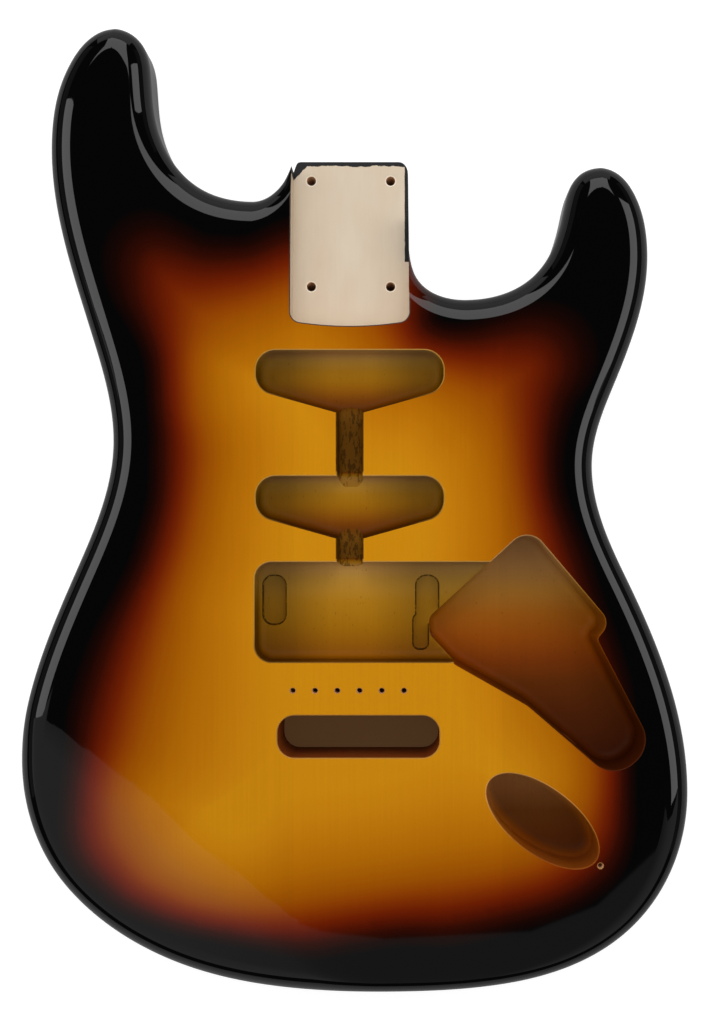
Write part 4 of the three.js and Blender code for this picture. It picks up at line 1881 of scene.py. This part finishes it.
@dataclass(frozen=True)
class SoftBox:
    """A soft box that faces the origin and that the camera doesn't see.

    Its middle hangs over its foot. Its two level sides are seen at its angles, in degrees
    from straight up. A radiance of 1 looks white. Only a box straight overhead needs its
    height, because the angles give that of the others.
    """

    name: str
    foot: Pair
    angles: Pair
    width: float
    radiance: float
    height: float = 2.2
    mirrored: bool = True

    def build(self) -> None:
        """Hangs the soft box."""
        low, high = (math.radians(angle) for angle in self.angles)
        middle, half = (low + high) / 2, (high - low) / 2
        place = Vector((*self.foot, 0))
        place.z = place.length / math.tan(middle) if middle else self.height
        depth = 2 * place.length * math.tan(half)
        lamp = bpy.data.lights.new(self.name, "AREA")
        lamp.shape = "RECTANGLE"
        lamp.size, lamp.size_y = self.width, depth
        lamp.energy = self.radiance * math.pi * self.width * depth
        made = link(self.name, lamp)
        made.location = place
        made.rotation_euler = place.to_track_quat("Z", "Y").to_euler()
        made.visible_camera = False
        made.visible_glossy = self.mirrored


@dataclass
class Studio:
    """The floor, the reflector, the world, the lamps and the camera, in metres.

    A shaded spot is its middle and its half width and half length. A tone of the reflector
    is its x and how bright the reflector is there.
    """

    body_box: tuple[Vector, Vector]
    paper_x: Pair = (-0.34, 0.6)
    paper_y: Pair = (-1.2, 1.4)
    paper_gap: float = 0.0003
    paper_roughness: float = 0.9
    paper_grey: Shade = (0.3, 0.3, 0.3, 1.0)
    camera_glow: float = 0.86
    mirrored_glow: float = 0.08
    world_glow: float = 0.02
    # The body's shade on the paper, painted brown where the slot and the bolt holes show it.
    shade_brown: Shade = (0.1, 0.052, 0.022, 1.0)
    shade_glow: Shade = (0.044, 0.021, 0.008, 1.0)
    shaded_spots: tuple[tuple[Pair, Pair], ...] = (
        ((0.0025, -0.107), (0.048, 0.02)), ((-0.0016, 0.133), (0.027, 0.034)))
    reflector_roughness: float = 1.0
    reflector_outline: Pairs = (
        (-3.0, -0.09), (-3.0, -3.0), (2.5, -3.0), (2.5, -0.42), (1.0, -0.4), (0.6, -0.34),
        (0.4, -0.28), (0.3, -0.265), (0.256, -0.303), (0.2, -0.355), (0.138, -0.379),
        (0.0, -0.386), (-0.06, -0.379), (-0.09, -0.368), (-0.142, -0.352), (-0.164, -0.303),
        (-0.215, -0.257), (-0.279, -0.209), (-0.327, -0.182), (-0.42, -0.12),
    )
    reflector_tones: Pairs = (
        (-0.45, 0.37), (-0.31, 0.27), (-0.18, 0.2), (0.0, 0.175), (0.35, 0.175), (0.65, 0.28),
        (1.0, 0.35))
    soft_boxes: tuple[SoftBox, ...] = (
        SoftBox("left_box", (-1.5, 0.35), (31, 66), 1.1, 2.0),
        SoftBox("left_wall", (-1.5, 0.35), (66, 90), 2.4, 0.08),
        SoftBox("right_box", (1.5, 0.285), (38, 69), 1.43, 1.9),
        SoftBox("right_wall", (1.5, 0.285), (69, 90), 2.4, 0.05),
        SoftBox("neck_end_box", (0.05, 1.6), (24, 67), 1.7, 1.8),
        SoftBox("neck_end_wall", (-0.07, 1.6), (67, 91), 1.85, 0.47),
        SoftBox("overhead_fill", (0, 0.01), (-35, 35), 3.0, 1.2, mirrored=False),
    )
    camera_place: tuple[float, float, float] = (0.0297, -0.01836, 0.844)
    view_height: float = 0.4828
    view_shift: Pair = (-0.0601, 0.0361)

    def build(self) -> None:
        """Builds everything in the studio."""
        self.build_floor()
        self.build_reflector()
        self.build_world()
        for soft_box in self.soft_boxes:
            soft_box.build()
        self.build_camera()
        bpy.context.scene.view_settings.view_transform = "Standard"

    def build_floor(self) -> None:
        """Lays the pale paper, with painted brown shade where the slot and the bolt holes show
        it.
        """
        (west, east), (south, north) = self.paper_x, self.paper_y
        corners = ((west, south), (east, south), (east, north), (west, north))
        _, sheet = self.lay_sheet("floor", -self.paper_gap, corners, self.paper_roughness)
        x, y = sheet.axis("X"), sheet.axis("Y")
        plain = 1.0
        # Each shaded spot paints the body's shade on the paper in brown.
        for middle, half in self.shaded_spots:
            beside, beyond = (
                sheet.over(sheet.distance(value, centre / MM), reach / MM)
                for value, centre, reach in zip((x, y), middle, half))
            plain = sheet.larger(beside, beyond) * plain
        sheet.feed("Base Color", sheet.mix(plain, self.shade_brown, self.paper_grey))
        camera_ray, glossy_ray, through_ray = (
            sheet.node("ShaderNodeLightPath", {}, {}, f"Is {kind} Ray")
            for kind in ("Camera", "Glossy", "Transmission"))
        white = sheet.grey(
            camera_ray * self.camera_glow + (glossy_ray + through_ray) * self.mirrored_glow)
        # A faint brown glow that only the camera sees adds to that painted shade.
        brown = sheet.mix(camera_ray, BLACK, self.shade_glow)
        sheet.feed("Emission Color", sheet.mix(plain, brown, white))

    def build_reflector(self) -> None:
        """Hangs the dim reflector over the tail end, level with the camera."""
        hung, sheet = self.lay_sheet("tail_reflector", self.camera_place[2],
                                     self.reflector_outline, self.reflector_roughness)
        hung.visible_camera = False
        hung.visible_shadow = False
        (west, _), (east, _) = self.reflector_tones[0], self.reflector_tones[-1]
        across = sheet.span(sheet.axis("X"), west / MM, east / MM)
        sheet.feed("Emission Color", sheet.ramp(across, [
            ((spot - west) / (east - west), (tone, tone, tone, 1.0))
            for spot, tone in self.reflector_tones]))

    @staticmethod
    def lay_sheet(name: str, height: float, outline: Iterable[Pair], roughness: float
                  ) -> tuple[bpy.types.Object, NodeSheet]:
        """Makes a level sheet that is no part of the body. It is black and ready to glow.

        Args:
            name: Its name.
            height: Its height.
            outline: Its corners, in metres.
            roughness: The roughness of its surface.

        Returns:
            The sheet and the nodes of its material.
        """
        mesh = bmesh.new()
        corners = [mesh.verts.new((x, y, height)) for x, y in outline]
        bmesh.ops.contextual_create(mesh, geom=corners)
        made = object_of(name, mesh)
        material = bpy.data.materials.new(name)
        made.data.materials.append(material)
        return made, NodeSheet(material, PRINCIPLED, {
            "Base Color": BLACK, "Roughness": roughness, "Specular IOR Level": 0.0,
            "Emission Strength": 1.0})

    def build_world(self) -> None:
        """Sets a dim world that the camera sees as white."""
        world = bpy.data.worlds.new("studio")
        sheet = NodeSheet(world, "BACKGROUND", {"Color": (1, 1, 1, 1)})
        seen = sheet.node("ShaderNodeLightPath", {}, {}, "Is Camera Ray")
        sheet.feed("Strength", sheet.span(seen, 0, 1, self.world_glow, 1.0))
        bpy.context.scene.world = world

    def build_camera(self) -> None:
        """Places the camera straight above the body."""
        camera = bpy.data.cameras.new("camera")
        camera.sensor_fit = "VERTICAL"
        distance = self.camera_place[2] - self.body_box[1].z
        camera.angle_y = 2 * math.atan(self.view_height / 2 / distance)
        camera.shift_x, camera.shift_y = self.view_shift
        made = link("camera", camera)
        made.location = self.camera_place
        bpy.context.scene.camera = made


def main() -> None:
    """Builds the studio and the body."""
    logging.basicConfig(level=logging.INFO)
    size = (solid_box[1] - solid_box[0]) / MM
    Studio(solid_box).build()
    routings = Routings(size.z)
    outline = Outline(size.x, size.y, size.z, routings.centreline_x, routings.pocket_end_y(),
                      routings.pocket_width, routings.pocket_length)
    Body(outline, Blank(outline), routings).build()


if __name__ == "__main__":
    main()
